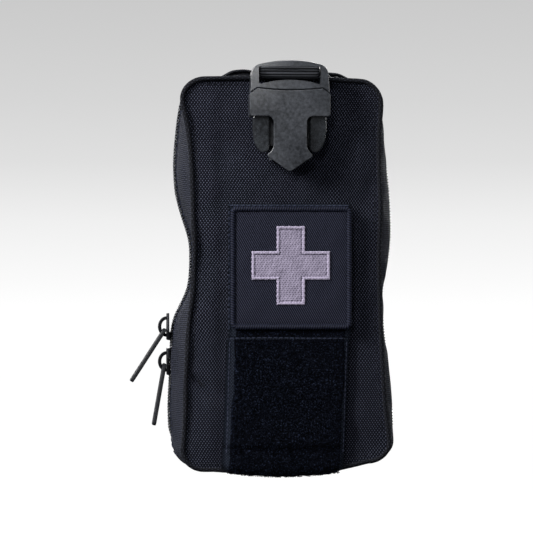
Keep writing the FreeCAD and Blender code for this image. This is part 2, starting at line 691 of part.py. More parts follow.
def tourniquet():
    """A windlass tourniquet folded for storage behind the elastic loops."""
    half = size("tourniquet_width") / 2
    rear = number("half_depth - wall - 1.65")
    band = softened(solid_box((-half, rear - 14, 20), (half, rear, 152)), 3.2, lies_along((1, 0, 0)))
    made("tourniquet_band", band)
    plate_front = rear - 16.2
    plate = softened(
        solid_box((-half, plate_front, 42), (half, rear - 14.1, 128)), 6, lies_along((0, 1, 0)))
    made("tourniquet_base_plate", plate)
    axis = plate_front - 4.6
    windlass = softened(rod((0, axis, 85), 4.2, 108, (0, 0, 1)), 2.0)
    made("windlass_rod", windlass)
    clip = []
    for x in (-6.2, 4.5):
        clip.append(solid_box((x, axis - 3.5, 112), (x + 1.7, plate_front - 0.05, 122)))
    base = solid_box((-9, plate_front - 0.35, 112), (9, plate_front - 0.05, 122))
    made("windlass_clip", joined(base, *clip))
    frame = solid_box((-half - 2, rear - 13.8, 155), (half + 2, rear - 9.8, 163.5))
    frame = softened(frame, 1.5, lies_along((0, 1, 0)))
    slots = [solid_box((-half + 0.5, rear - 15, z), (half - 0.5, rear - 8, z + 2.4)) for z in (156.6, 160.2)]
    made("tourniquet_buckle", frame.cut(slots))


shell_half("front", "front_panel", -1)
shell_half("rear", "back_panel", 1)
loop_tapes()
patch()
buckle()
slider("upper", size("upper_slider"), -1)
slider("lower", size("lower_slider"), 1)
pull("upper", size("upper_slider"), 33.0)
pull("lower", size("lower_slider"), 10.0)
rear_webbing()
grab_handle()
interior()
tourniquet()

doc.recompute()
for thing in doc.Objects:
    if "Invalid" in thing.State or "Error" in thing.State:
        raise RuntimeError(f"{thing.Label} failed: {thing.State}")
os.makedirs("parts", exist_ok=True)
for thing in parts:
    shape = thing.Shape
    if shape.isNull() or not shape.isValid() or not shape.Solids:
        raise RuntimeError(f"{thing.Label} has no valid shape")
    shape.exportStep(f"parts/{thing.Label}.step")
print(f"{len(parts)} sub-parts, {sum(len(thing.Shape.Solids) for thing in parts)} solids")
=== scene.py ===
"""Looks of the zipped first-aid pouch: fabric shells, bound seams, zipper, pile, patch, webbing and stitching."""
import math
import bpy
import numpy as np
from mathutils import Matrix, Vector


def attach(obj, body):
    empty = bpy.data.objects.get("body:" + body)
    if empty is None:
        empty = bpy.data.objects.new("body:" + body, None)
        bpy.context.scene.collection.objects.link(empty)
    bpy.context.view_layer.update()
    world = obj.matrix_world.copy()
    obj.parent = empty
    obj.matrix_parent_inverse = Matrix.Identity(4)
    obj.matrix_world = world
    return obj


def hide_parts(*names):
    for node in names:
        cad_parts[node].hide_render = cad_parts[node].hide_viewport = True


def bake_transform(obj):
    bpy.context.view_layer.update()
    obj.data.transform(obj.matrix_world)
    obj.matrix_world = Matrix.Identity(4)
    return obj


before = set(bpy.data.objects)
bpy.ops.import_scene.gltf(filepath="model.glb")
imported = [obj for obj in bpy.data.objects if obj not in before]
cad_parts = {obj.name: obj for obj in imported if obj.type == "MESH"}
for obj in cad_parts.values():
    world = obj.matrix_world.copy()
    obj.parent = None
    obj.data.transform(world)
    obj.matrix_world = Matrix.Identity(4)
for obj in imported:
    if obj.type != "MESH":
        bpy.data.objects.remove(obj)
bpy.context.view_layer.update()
MM = 0.001
TAU = 2 * math.pi
X, Y, Z = np.eye(3)


# ---------------- small tools

def smoothed(values, blur, reach):
    """Values evened out over about blur steps, each end held."""
    kernel = np.exp(-0.5 * (np.arange(-reach, reach + 1) / blur) ** 2)
    return np.convolve(np.pad(values, reach, mode="edge"), kernel / kernel.sum(), "valid")


def along(values, knots):
    """A smooth curve through (position, value) knots, read at each of values."""
    knots = np.array(knots, float)
    margin, blur = 12, 3.5
    fine = np.linspace(knots[0, 0] - margin, knots[-1, 0] + margin, 600)
    return np.interp(values, fine, smoothed(np.interp(fine, *knots.T), blur / (fine[1] - fine[0]), 40))


def climb(values, start, stop):
    """0 up to start, then rising evenly to 1 at stop; stop may be the lower one."""
    return np.clip((values - start) / (stop - start), 0, 1)


def bell(values, middle, width):
    """A smooth peak of height 1 at middle."""
    return np.exp(-((values - middle) / width) ** 2)


def ripple(u, v, size, seed):
    """Smooth seeded waviness of about unit height; u, v and size are in the same unit."""
    rng, waves = np.random.default_rng(seed), 7
    total = np.zeros(np.broadcast(u, v).shape)
    for _ in range(waves):
        turn, phase, scale = rng.uniform(0, TAU), rng.uniform(0, TAU), size * rng.uniform(0.6, 1.7)
        total += np.sin(TAU * (u * math.cos(turn) + v * math.sin(turn)) / scale + phase)
    return total / math.sqrt(waves)


def crease(x, z, start, end, width):
    """1 on the line from start to end, falling to 0 over about width, and fading at both ends."""
    a, b = np.array(start, float), np.array(end, float)
    run = b - a
    t = np.clip(((x - a[0]) * run[0] + (z - a[1]) * run[1]) / (run @ run), 0, 1)
    gap = np.hypot(x - a[0] - t * run[0], z - a[1] - t * run[1])
    return bell(gap, 0, width) * np.sin(math.pi * np.clip(0.12 + 0.76 * t, 0, 1))


def unit(rows):
    return rows / np.maximum(np.linalg.norm(rows, axis=-1, keepdims=True), 1e-12)


def run_along(points):
    """Length of a polyline up to each of its points."""
    return np.concatenate([[0], np.cumsum(np.linalg.norm(np.diff(points, axis=0), axis=1))])


def resampled(points, step):
    """Points about every step along a polyline, its ends kept."""
    points = np.asarray(points, float)
    run = run_along(points)
    at = np.linspace(0, run[-1], max(int(run[-1] / step), 3) + 1)
    return np.stack([np.interp(at, run, column) for column in points.T], 1)


def arc(centre, radius, start, stop, count):
    """Points on an arc in a plane, its angles in degrees from the first axis towards the second."""
    return [
        (centre[0] + radius * math.cos(math.radians(a)), centre[1] + radius * math.sin(math.radians(a)))
        for a in np.linspace(start, stop, count)
    ]


def rounded_corners(half, low, high, radius, count):
    """Points (x, z) round a rounded rectangle's corners, from the lower left one up and on round."""
    points = []
    for quarter, (sx, sz) in enumerate([(-1, -1), (-1, 1), (1, 1), (1, -1)]):
        centre = sx * (half - radius), high - radius if sz > 0 else low + radius
        points += arc(centre, radius, 270 - 90 * quarter, 180 - 90 * quarter, count)
    return points


def ring3(flat, y):
    """Points (x, z) set at depth y."""
    return np.stack([flat[:, 0], np.broadcast_to(y, len(flat)), flat[:, 1]], 1)


def grid_faces(rows, cols, closed_cols=False, closed_rows=False):
    """Quads of a grid of rows by cols vertices."""
    r = np.arange(rows if closed_rows else rows - 1)
    c = np.arange(cols if closed_cols else cols - 1)
    r, c = (g.ravel() for g in np.meshgrid(r, c, indexing="ij"))
    r2, c2 = (r + 1) % rows, (c + 1) % cols
    return np.stack([r * cols + c, r * cols + c2, r2 * cols + c2, r2 * cols + c], 1)


def sleeve_faces(rows, cols, turned=False):
    """Quads of a flat sleeve of rows rings, each cols there and cols back; turned reverses the first end."""
    count = 2 * cols
    caps = [[row * count + k, row * count + k + 1, (row + 1) * count - 2 - k, (row + 1) * count - 1 - k]
            for row in (0, rows - 1) for k in range(cols - 1)]
    if turned:
        caps[:cols - 1] = [quad[::-1] for quad in caps[:cols - 1]]
    return np.concatenate([grid_faces(rows, count, closed_cols=True), caps])


def slab_faces(faces, count):
    """Quads of a thin slab: the front as given, the back count vertices further on, and walls round the rim."""
    edges = np.concatenate([faces[:, [k, (k + 1) % 4]] for k in range(4)])
    _, index, times = np.unique(np.sort(edges, 1), axis=0, return_index=True, return_counts=True)
    a, b = edges[index[times == 1]].T
    return np.concatenate([faces, faces[:, ::-1] + count, np.stack([a, a + count, b + count, b], 1)])


def linked(name, data):
    """A new object with that data, in the scene."""
    made = bpy.data.objects.new(name, data)
    bpy.context.scene.collection.objects.link(made)
    return made


def build(name, verts, faces, material, body=None, uv=None, tone=None):
    """A mesh object from vertices in millimetres; uv is one pair per face corner or per vertex."""
    mesh = bpy.data.meshes.new(name)
    faces = faces.tolist() if isinstance(faces, np.ndarray) else faces
    mesh.from_pydata((np.asarray(verts, float) * MM).tolist(), [], faces)
    mesh.polygons.foreach_set("use_smooth", [True] * len(mesh.polygons))
    if uv is not None:
        uv = np.asarray(uv, float) * MM
        if len(uv) == len(mesh.vertices):
            corner = np.empty(len(mesh.loops), np.int32)
            mesh.loops.foreach_get("vertex_index", corner)
            uv = uv[corner]
        mesh.uv_layers.new(name="UVMap").data.foreach_set("uv", uv.astype(np.float32).ravel())
    if tone is not None:
        attribute = mesh.color_attributes.new("tone", "FLOAT_COLOR", "POINT")
        rgba = np.ones((len(tone), 4), np.float32)
        rgba[:, :3] = np.asarray(tone)[:, None]
        attribute.data.foreach_set("color", rgba.ravel())
    mesh.validate()
    mesh.update()
    mesh.materials.append(material)
    piece = linked(name, mesh)
    if body:
        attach(piece, body)
    return piece


def stands_for(piece, slot, *nodes):
    """The piece stands for these CAD nodes, which are hidden; slot is not used."""
    if nodes:
        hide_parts(*nodes)
    return piece


def strip(name, path, width, across, thick, material, body, step, cols, rib, pitch=0.85, seed=1, wobble=0.0):
    """A woven strip that follows path, width wide along the direction across, with rounded edges and ribs."""
    centre = resampled(path, step)
    normal = unit(np.cross(unit(np.gradient(centre, axis=0)), across))
    half = np.linspace(-1, 1, cols)
    ring = np.concatenate([half, half[::-1]])
    edge = np.repeat([1, -1], cols) * np.sqrt(np.clip(1 - np.abs(ring) ** 14, 0, 1))
    s, c = np.meshgrid(run_along(centre), ring * width / 2, indexing="ij")
    ribs = rib * (np.abs(np.sin(math.pi * s / pitch)) - 0.5)
    lift = edge * (thick / 2 + ribs) + wobble * ripple(s, c, 22, seed)
    hem = 1 + 0.010 * np.sin(s * 1.7 + seed) * (wobble > 0)
    verts = centre[:, None] + across * (c * hem)[..., None] + normal[:, None] * lift[..., None]
    uv = np.stack([c.ravel(), s.ravel()], 1)
    return build(name, verts.reshape(-1, 3), sleeve_faces(len(centre), cols, True), material, body, uv)


def tube(name, centre, radius, material, body, sides, out, closed=False, ridge=None, oval=1.0):
    """A tube along centre, oval times as wide as high; out points outwards, ridge adds height by run and angle."""
    ahead = unit(np.roll(centre, -1, 0) - np.roll(centre, 1, 0) if closed else np.gradient(centre, axis=0))
    out = unit(out)
    out = unit(out - ahead * (out * ahead).sum(1, keepdims=True))
    side = np.cross(ahead, out)
    s, a = np.meshgrid(run_along(centre), np.linspace(0, TAU, sides, endpoint=False), indexing="ij")
    size = radius + (ridge(s, a) if ridge else 0)
    verts = (centre[:, None] + out[:, None] * (np.cos(a) * size)[..., None]
            + side[:, None] * (np.sin(a) * size * oval)[..., None]).reshape(-1, 3)
    faces = grid_faces(len(centre), sides, closed_cols=True, closed_rows=closed)
    if closed:
        return build(name, verts, faces, material, body, np.stack([(a * radius).ravel(), s.ravel()], 1))
    first, last = len(verts), len(verts) + 1
    base = (len(centre) - 1) * sides
    fans = [[(k + 1) % sides, k, first] for k in range(sides)]
    fans += [[base + k, base + (k + 1) % sides, last] for k in range(sides)]
    return build(name, np.concatenate([verts, centre[[0, -1]]]), faces.tolist() + fans, material, body)


def threads(name, starts, ends, lift, radius, material, body, rise):
    """Many short stitches as one mesh: each runs from a start to an end, its middle raised along lift."""
    lift = np.broadcast_to(np.asarray(lift, float), starts.shape)
    ahead = unit(ends - starts)
    side = unit(np.cross(ahead, lift))
    up = np.cross(side, ahead)
    stations, sides = 6, 6
    t = np.linspace(0, 1, stations)
    bow = np.sin(math.pi * t)
    angle = np.linspace(0, TAU, sides, endpoint=False)
    fat = radius * (0.45 + 0.55 * bow ** 0.5)
    centre = starts[:, None] + (ends - starts)[:, None] * t[:, None] + lift[:, None] * (
        rise * bow - 0.25 * radius)[:, None]
    verts = (centre[:, :, None] + side[:, None, None] * (np.cos(angle) * fat[:, None])[..., None]
            + up[:, None, None] * (np.sin(angle) * fat[:, None])[..., None])
    cap = np.array([[0, 1, 2, 3], [0, 3, 4, 5]])
    one = np.concatenate([grid_faces(stations, sides, closed_cols=True), cap[:, ::-1], cap + (stations - 1) * sides])
    faces = (np.arange(len(starts))[:, None, None] * (stations * sides) + one[None]).reshape(-1, 4)
    run = np.broadcast_to(t[:, None] * 3.0, verts.shape[:3])
    around = np.broadcast_to(angle * radius, verts.shape[:3])
    return build(name, verts.reshape(-1, 3), faces, material, body, np.stack([around.ravel(), run.ravel()], 1))


def stitched(points, pitch):
    """Starts and ends of a running stitch along a polyline."""
    line, stitch = resampled(points, 0.25), 0.72 * pitch
    run = run_along(line)
    at = np.arange(0.3, run[-1] - stitch, pitch)
    return [np.stack([np.interp(where, run, column) for column in line.T], 1) for where in (at, at + stitch)]


def sew(name, runs, lift, radius, body, rise, material=None):
    """One piece of running stitches; runs are (polyline, pitch) pairs."""
    starts, ends = (np.concatenate(part) for part in zip(*[stitched(*run) for run in runs]))
    threads(name, starts, ends, lift, radius, material or SEWING, body, rise)


# ---------------- materials

class Graph:
    """One node material, with short names for the nodes that the weaves are made of."""

    def __init__(self, name):
        self.material = bpy.data.materials.new(name)
        self.material.use_nodes = True
        self.nodes, self.links = self.material.node_tree.nodes, self.material.node_tree.links
        self.shader = next(n for n in self.nodes if n.type == "BSDF_PRINCIPLED")

    def put(self, socket, value):
        if isinstance(value, bpy.types.NodeSocket):
            self.links.new(value, socket)
        else:
            socket.default_value = value

    def add(self, kind, **values):
        """A new node, its inputs set or linked to those values."""
        node = self.nodes.new("ShaderNode" + kind)
        for name, value in values.items():
            self.put(node.inputs[name], value)
        return node

    def maths(self, operation, *values, clamp=False):
        node = self.add("Math")
        node.operation, node.use_clamp = operation, clamp
        for socket, value in zip(node.inputs, values):
            self.put(socket, value)
        return node.outputs[0]

    def times(self, first, second):
        return self.maths("MULTIPLY", first, second)

    def plus(self, first, second):
        return self.maths("ADD", first, second)

    def hump(self, value, pitch):
        """0 at each whole pitch and 1 halfway between."""
        return self.maths("ABSOLUTE", self.maths("SINE", self.times(value, math.pi / pitch)))

    def place(self, kind="Object"):
        return self.add("TexCoord").outputs[kind]

    def parts(self, vector):
        return self.add("SeparateXYZ", Vector=vector).outputs

    def uv(self):
        return self.parts(self.place("UV"))[:2]

    def noise(self, vector, scale, detail=3.0, rough=0.55):
        return self.add("TexNoise", Vector=vector, Scale=scale, Detail=detail, Roughness=rough).outputs["Fac"]

    def ramp(self, value, *stops):
        node = self.add("ValToRGB", Fac=value)
        elements = node.color_ramp.elements
        while len(elements) < len(stops):
            elements.new(0.5)
        for element, (position, colour) in zip(elements, stops):
            element.position, element.color = position, (*colour, 1)
        return node.outputs[0]

    def greys(self, value, *stops):
        return self.ramp(value, *[(position, (grey,) * 3) for position, grey in stops])

    def cover(self, colour, value, share, over):
        """The colour with another laid over it, by share of value."""
        node = self.add("Mix")
        node.data_type = "RGBA"
        for index, item in ((0, self.times(value, share)), (6, colour), (7, (*over, 1))):
            self.put(node.inputs[index], item)
        return node.outputs[2]

    def tone(self):
        # Per-vertex brightness of the embroidery, its painted shade and highlights included.
        node = self.add("VertexColor")
        node.layer_name = "tone"
        return self.add("SeparateColor", Color=node.outputs[0]).outputs[0]

    def bump(self, height, distance, strength):
        node = self.add("Bump", Height=height, Distance=distance, Strength=strength)
        self.put(self.shader.inputs["Normal"], node.outputs[0])

    def finish(self, colour, rough, sheen=0.0, metal=0.0, specular=0.5):
        values = {"Base Color": colour, "Roughness": rough, "Metallic": metal, "Specular IOR Level": specular}
        if sheen:
            values |= {"Sheen Weight": sheen, "Sheen Roughness": 0.45, "Sheen Tint": (0.72, 0.78, 1.0, 1)}
        for name, value in values.items():
            self.put(self.shader.inputs[name], value)
        return self.material


def dim(colour, share):
    return [share * c for c in colour]


def weave(g, u, v, pitch_u, pitch_v):
    """Height of a plain weave of round yarns, 0 in its gaps and 1 on its crowns."""
    cell_u, cell_v = g.maths("DIVIDE", u, pitch_u), g.maths("DIVIDE", v, pitch_v)
    hump_u, hump_v = g.hump(cell_u, 1), g.hump(cell_v, 1)
    both = g.plus(g.maths("FLOOR", cell_u), g.maths("FLOOR", cell_v))
    odd = g.maths("ABSOLUTE", g.maths("MODULO", both, 2.0))
    warp = g.times(g.maths("POWER", hump_u, 0.7), g.plus(g.times(hump_v, 0.65), 0.35))
    # The weft lies lower than the warp; through the colour stops in woven this also paints it darker, as painted
    # shade.
    weft = g.times(g.maths("POWER", hump_v, 0.7), g.plus(g.times(hump_u, 0.30), 0.08))
    return g.plus(g.times(warp, odd), g.times(weft, g.maths("SUBTRACT", 1.0, odd)))


def woven(g, height, stops, fuzz, relief, rough, specular, sheen=0.0, wear=None):
    """The finish of a cloth with that height; stops are its colours by height, which paint shade into its low gaps
    and highlights onto its high crowns.

    fuzz is (scale, share, colour) of its fibres, relief (share of the fibres, distance, strength) of its bump,
    rough its roughness in the gaps and on the crowns, and wear (scale, detail, share, colour) of slow changes.
    """
    place = g.place()
    fibre = g.noise(place, fuzz[0], 2.0)
    # Colour by height: painted shade in the gaps between the yarns, painted highlights on their crowns.
    cloth = g.cover(g.ramp(height, *stops), fibre, *fuzz[1:])
    if wear:
        cloth = g.cover(cloth, g.noise(place, *wear[:2]), *wear[2:])
    g.bump(g.plus(height, g.times(fibre, relief[0])), *relief[1:])
    return g.finish(cloth, g.greys(height, (0.2, rough[0]), (0.95, rough[1])), sheen=sheen, specular=specular)


def oxford(name, dark, light, pitch=0.00060):
    """Coated oxford cloth: a coarse plain weave whose gaps are darkened with painted shade and whose yarn crowns
    shine slightly, from their lower roughness and from a painted highlight.
    """
    g = Graph(name)
    u, v = g.uv()
    u = g.plus(u, g.times(g.noise(g.place(), 38.0, 2.0), 0.0045))
    # Near black in the gaps (painted shade), light on the crowns (painted highlight).
    stops = (0.12, dim(dark, 0.1)), (0.46, dark), (0.86, light)
    return woven(g, weave(g, u, v, pitch, pitch * 1.4), stops, (2600.0, 0.55, dim(dark, 0.6)),
            (0.35, 0.00028, 0.9), (0.9, 0.62), 0.10, wear=(60.0, 4.0, 0.35, dim(dark, 1.25)))


def webbing(name, dark, light, pitch=0.00085, fine=0.00055):
    """Woven tape: ribs across its length with fine yarns along it."""
    g = Graph(name)
    # Dark between the yarns (painted shade), light on their crowns (painted highlight).
    stops = (0.08, dim(dark, 0.3)), (0.6, dark), (0.95, light)
    return woven(g, weave(g, *g.uv(), fine, pitch), stops, (3000.0, 0.5, dim(dark, 0.65)), (0.3, 0.0002, 0.8),
            (0.85, 0.6), 0.16, 0.03, (90.0, 3.0, 0.3, dim(dark, 1.3)))


def ribbed(name, dark, light):
    """Stiff webbing with strong ribs across its length."""
    g = Graph(name)
    u, v = g.uv()
    height = g.times(g.hump(v, 0.001), g.plus(g.times(g.hump(u, 0.0005), 0.2), 0.8))
    # Dark between the ribs (painted shade), light on the rib crests (painted highlight).
    stops = (0.3, dark), (0.75, dim(light, 0.35)), (0.97, light)
    return woven(g, height, stops, (3000.0, 0.45, dark), (0.3, 0.0002, 0.6), (0.85, 0.55), 0.25)


def twill(name, dark, light):
    """Patch twill: fine steep diagonal lines."""
    g = Graph(name)
    u, v = g.uv()
    wale = g.hump(g.plus(u, g.times(v, 0.56)), 0.00092)
    height = g.times(wale, g.plus(g.times(g.hump(v, 0.0006), 0.25), 0.75))
    # Dark between the diagonal wales (painted shade), light on their crowns (painted highlight).
    stops = (0.10, dim(dark, 0.2)), (0.5, dark), (0.96, light)
    return woven(g, height, stops, (2800.0, 0.5, dim(dark, 0.7)), (0.4, 0.00015, 0.8), (0.88, 0.68), 0.10, 0.03)


def thread(name, dark, light, sheen=0.05, pitch=0.0006, slant=1.0):
    """Polyester thread: twisted plies with a slight shine, darker between the plies with painted shade and lighter on
    them with a painted highlight.
    """
    g = Graph(name)
    u, v = g.uv()
    height = g.hump(g.plus(g.times(u, slant), v), pitch)
    fibre = g.noise(g.place(), 3500.0, 2.0)
    # Colour by ply height: painted shade between the plies, painted highlights on them.
    colour = g.ramp(g.plus(g.times(height, 0.7), g.times(fibre, 0.3)), (0.35, dark), (0.85, light))
    g.bump(height, 0.00006, 0.6)
    return g.finish(colour, g.greys(fibre, (0.3, 0.55), (0.7, 0.75)), sheen=sheen, specular=0.15)


def embroidery(name, dark, light):
    """Embroidered rayon, its brightness set stitch by stitch, with painted shade in the gaps and grooves and painted
    highlights on the raised satin.
    """
    g = Graph(name)
    place = g.place()
    fibre, mottle = g.noise(place, 2400.0, 2.0), g.noise(place, 320.0, 2.0)
    value = g.plus(g.times(g.tone(), 0.86), g.times(g.plus(fibre, mottle), 0.07))
    g.bump(fibre, 0.00005, 0.5)
    return g.finish(g.ramp(value, (0.1, dark), (0.9, light)), g.greys(fibre, (0.3, 0.48), (0.7, 0.62)), sheen=0.05,
            specular=0.25)


def pile(name, dark, light):
    """Loop pile: near-black fibres, a few of which catch the light."""
    g = Graph(name)
    place = g.place()
    fleck, cloud = g.noise(place, 1500.0, 3.0, 0.7), g.noise(place, 110.0, 3.0)
    colour = g.ramp(fleck, (0.44, dark), (0.58, dim(light, 0.12)), (0.72, light))
    g.bump(fleck, 0.0005, 0.8)
    return g.finish(g.cover(colour, cloud, 0.6, dark), g.greys(cloud, (0.3, 0.85), (0.7, 0.95)), specular=0.05)


def moulded(name, dark, light, rough, grain=900.0, specular=0.5):
    """Moulded plastic: a fine speckled texture, with slow changes of gloss and lighter worn spots."""
    g = Graph(name)
    place = g.place()
    fine, coarse = g.noise(place, grain * 2.4, 2.0, 0.7), g.noise(place, grain * 0.5, 2.0)
    cloud = g.noise(place, 45.0, 3.0)
    value = g.plus(g.times(fine, 0.6), g.times(cloud, 0.4))
    middle = [0.5 * (a + b) for a, b in zip(dark, light)]
    g.bump(g.plus(fine, coarse), 0.00005, 0.55)
    return g.finish(g.ramp(value, (0.38, dark), (0.54, middle), (0.68, light)),
            g.greys(cloud, (0.3, rough[0]), (0.7, rough[1])), specular=specular)


def metal(name, dark, light, rough=(0.3, 0.5)):
    """Enamelled or plated metal, brighter where it has worn."""
    g = Graph(name)
    place = g.place()
    scuff, cloud = g.noise(place, 420.0, 5.0, 0.7), g.noise(place, 130.0, 2.0)
    g.bump(scuff, 0.00003, 0.5)
    return g.finish(g.ramp(scuff, (0.35, dark), (0.66, dark), (0.80, light)),
            g.greys(cloud, (0.3, rough[0]), (0.7, rough[1])), metal=0.75)


CLOTH = oxford("oxford_black", (0.0045, 0.0056, 0.0110), (0.118, 0.130, 0.188))
LINING = oxford("oxford_lining", (0.008, 0.009, 0.013), (0.050, 0.055, 0.078), 0.0005)
BOUND = webbing("binding_tape", (0.0030, 0.0035, 0.0065), (0.030, 0.034, 0.050), 0.0012, 0.0006)
WEB = webbing("webbing_black", (0.0075, 0.008, 0.011), (0.046, 0.050, 0.066))
RIBBED = ribbed("webbing_ribbed", (0.006, 0.007, 0.009), (0.20, 0.21, 0.24))
SELVAGE = webbing("selvage", (0.009, 0.013, 0.024), (0.036, 0.048, 0.080), 0.0007, 0.0006)
TAPE = webbing("zipper_tape", (0.006, 0.0065, 0.010), (0.032, 0.036, 0.050), 0.0006, 0.0005)
ELASTIC = webbing("elastic", (0.006, 0.006, 0.008), (0.030, 0.031, 0.036), 0.0011, 0.0008)
TAN = webbing("tourniquet_webbing", (0.010, 0.011, 0.014), (0.060, 0.063, 0.070), 0.0009, 0.0007)
COIL = moulded("nylon_coil", (0.010, 0.011, 0.015), (0.055, 0.060, 0.075), (0.3, 0.45))
PILE = pile("loop_pile", (0.0003, 0.0005, 0.0014), (0.050, 0.068, 0.130))
HOOK = pile("hook_tape", (0.006, 0.006, 0.008), (0.06, 0.063, 0.075))
TWILL = twill("patch_twill", (0.0012, 0.0015, 0.0040), (0.050, 0.055, 0.092))
MERROW = thread("merrow_thread", (0.0006, 0.0008, 0.0022), (0.014, 0.017, 0.036), 0.0, 0.00102, 0.36)
DARK_THREAD = thread("dark_thread", (0.003, 0.0035, 0.006), (0.016, 0.018, 0.028))
SEWING = thread("sewing_thread", (0.010, 0.012, 0.024), (0.050, 0.060, 0.105))
CROSS = embroidery("cross_thread", (0.030, 0.025, 0.050), (0.40, 0.355, 0.475))
ACETAL = moulded("acetal_black", (0.0118, 0.0135, 0.0165), (0.068, 0.074, 0.087), (0.27, 0.41), 330.0, specular=0.8)
# The thumb buttons get a darker copy of the acetal: painted shade. Their lower roughness is real gloss.
SHADED_BUTTON = moulded("acetal_button", (0.0075, 0.0085, 0.0100), (0.040, 0.045, 0.052), (0.13, 0.22), 330.0, specular=0.9)
RUBBER = moulded("pull_rubber", (0.006, 0.0065, 0.008), (0.024, 0.026, 0.032), (0.5, 0.66), 700.0, specular=0.3)
SLIDER = metal("slider_enamel", (0.012, 0.013, 0.016), (0.12, 0.12, 0.13))
SNAP = metal("snap_metal", (0.020, 0.020, 0.022), (0.30, 0.30, 0.31), (0.22, 0.38))
HARD = moulded("tourniquet_plastic", (0.016, 0.016, 0.018), (0.085, 0.086, 0.092), (0.38, 0.52), 500.0)
RED = moulded("windlass_red", (0.16, 0.006, 0.006), (0.42, 0.030, 0.024), (0.38, 0.5), 400.0)

for finish, names in (
        (ACETAL, "buckle_socket plug_frame"), (SHADED_BUTTON, "prong_left prong_right"),
        (SLIDER, "upper_slider_body lower_slider_body upper_slider_bail lower_slider_bail"),
        (RUBBER, "upper_pull lower_pull"), (SNAP, "snap_cap_left snap_cap_right snap_stud_left snap_stud_right"),
        (RED, "windlass_rod"), (HARD, "windlass_clip tourniquet_base_plate tourniquet_buckle")):
    for node in names.split():
        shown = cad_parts[node]
        if not shown.material_slots:
            shown.data.materials.append(finish)
        for place in shown.material_slots:
            place.material = finish


# ---------------- outlines of the shells

COLUMNS = 384
HALF_WIDTH, FLOOR, ROOF, CENTRE_Z = 44.0, 2.2, 167.2, 86.0
SEAM_Y, PANEL_Y, ZIP_Y = 31.2, 32.95, 3.6
LINING_Y = SEAM_Y - 1.3
FRONT_LIMIT, BACK_LIMIT = 34.3, 32.98  # how far out the panels may bulge
BASE_LIMIT = 1.62  # how low the hinge may hang
UPPER = 120  # heights above this one belong to the roof
LEFT_SEAM = [(2, 45.2), (9, 44.2), (15, 43.4), (30, 43.0), (50, 42.4), (70, 41.0), (80, 39.4), (98, 39.0),
        (110, 39.6), (135, 40.4), (148, 42.0), (158, 44.4), (168, 44.6)]
LEFT_SEAM_REAR = [(2, 41.0), (24, 43.0), (48, 42.0), (62, 39.6), (76, 36.0), (92, 35.2), (104, 36.6), (118, 39.8),
        (134, 41.0), (150, 41.0), (168, 41.0)]
RIGHT_SEAM = [(2, 43.6), (8, 43.4), (14, 42.6), (30, 41.0), (50, 39.8), (75, 38.7), (95, 38.4), (115, 39.2),
        (130, 38.4), (145, 38.4), (158, 39.4), (168, 39.6)]
LEFT_ZIP = [(2, 45.8), (8, 46.4), (14, 46.9), (21, 47.4), (29, 47.7), (38, 47.2), (47, 46.8), (56, 46.6),
        (64, 46.2), (69, 44.6), (75, 40.8), (81, 38.6), (90, 38.2), (100, 38.2), (110, 41.8), (120, 44.6),
        (134, 45.4), (150, 44.0), (168, 41.2)]
RIGHT_ZIP = [(2, 46.8), (8, 47.8), (14, 47.5), (24, 47.2), (38, 46.0), (50, 44.6), (64, 43.2), (76, 42.4), (84, 43.6),
        (94, 45.8), (104, 46.4), (120, 45.8), (134, 44.4), (150, 42.2), (168, 39.8)]

FRONT_CREASES = [  # how far outwards, from (x, z) to (x, z), and how wide
    (-1.6, (-40.8, 43.4), (-29.4, 34.0), 1.5), (0.8, (-38.8, 46.0), (-29.0, 38.6), 2.4),
    (0.45, (29.4, 23.5), (36.6, 10.5), 0.9), (-0.55, (27.6, 22.0), (34.6, 9.5), 1.8),
    (-1.1, (-40, 150), (-21, 133), 5.0), (0.8, (-36, 160), (-17, 145), 4.0), (-1.0, (38, 128), (29, 108), 4.0),
    (-1.0, (-38, 104), (-29, 84), 4.0), (0.7, (36, 86), (30, 64), 4.0), (0.7, (-37, 76), (-29, 60), 4.0)]


def base_outline():
    """The nominal outline from the bottom's middle, up the left side and on round: (x, z), outward normal, run."""
    bottom = (0.0, FLOOR)
    points = np.array([bottom, *rounded_corners(HALF_WIDTH, FLOOR, ROOF, 9.5, 24), bottom])
    run = run_along(points)
    at = np.linspace(0, run[-1], COLUMNS, endpoint=False)
    line = np.stack([np.interp(at, run, column) for column in points.T], 1)
    ahead = unit(np.roll(line, -1, 0) - np.roll(line, 1, 0))
    return line, np.stack([-ahead[:, 1], ahead[:, 0]], 1), at


LINE, OUTWARD, RUN = base_outline()
LINE_X, LINE_Z = LINE.T


def raised_corner(height):
    """How far the lower corners are drawn up, the right one more than the left one."""
    right, left = climb(LINE_X, 14, 34), climb(-LINE_X, 8, 30)
    return (height * right + 0.34 * height * left) * climb(LINE_Z, 32, 6)


def outline(left, right, level):
    """The nominal outline with its sides moved to those profiles and its heights to level."""
    half = np.where(LINE_X < 0, along(LINE_Z, left), along(LINE_Z, right))
    return np.stack([LINE_X / HALF_WIDTH * half, level], 1)


def seam_line(side):
    """The wavy outline where the panel meets the side walls, of the front half (-1) or the rear half (1)."""
    roof = (LINE_Z > UPPER) * (0.7 * bell(LINE_X, -6, 26) - 0.9 * climb(LINE_X, 20, 40))
    return outline(LEFT_SEAM if side < 0 else LEFT_SEAM_REAR, RIGHT_SEAM, LINE_Z + roof + raised_corner(4.7))


def zip_line(shift=0.0):
    """The wavy outline at the zipper; shift moves it outwards."""
    return outline(LEFT_ZIP, RIGHT_ZIP, LINE_Z - 0.5 * (LINE_Z > UPPER) + raised_corner(3.3)) + OUTWARD * shift


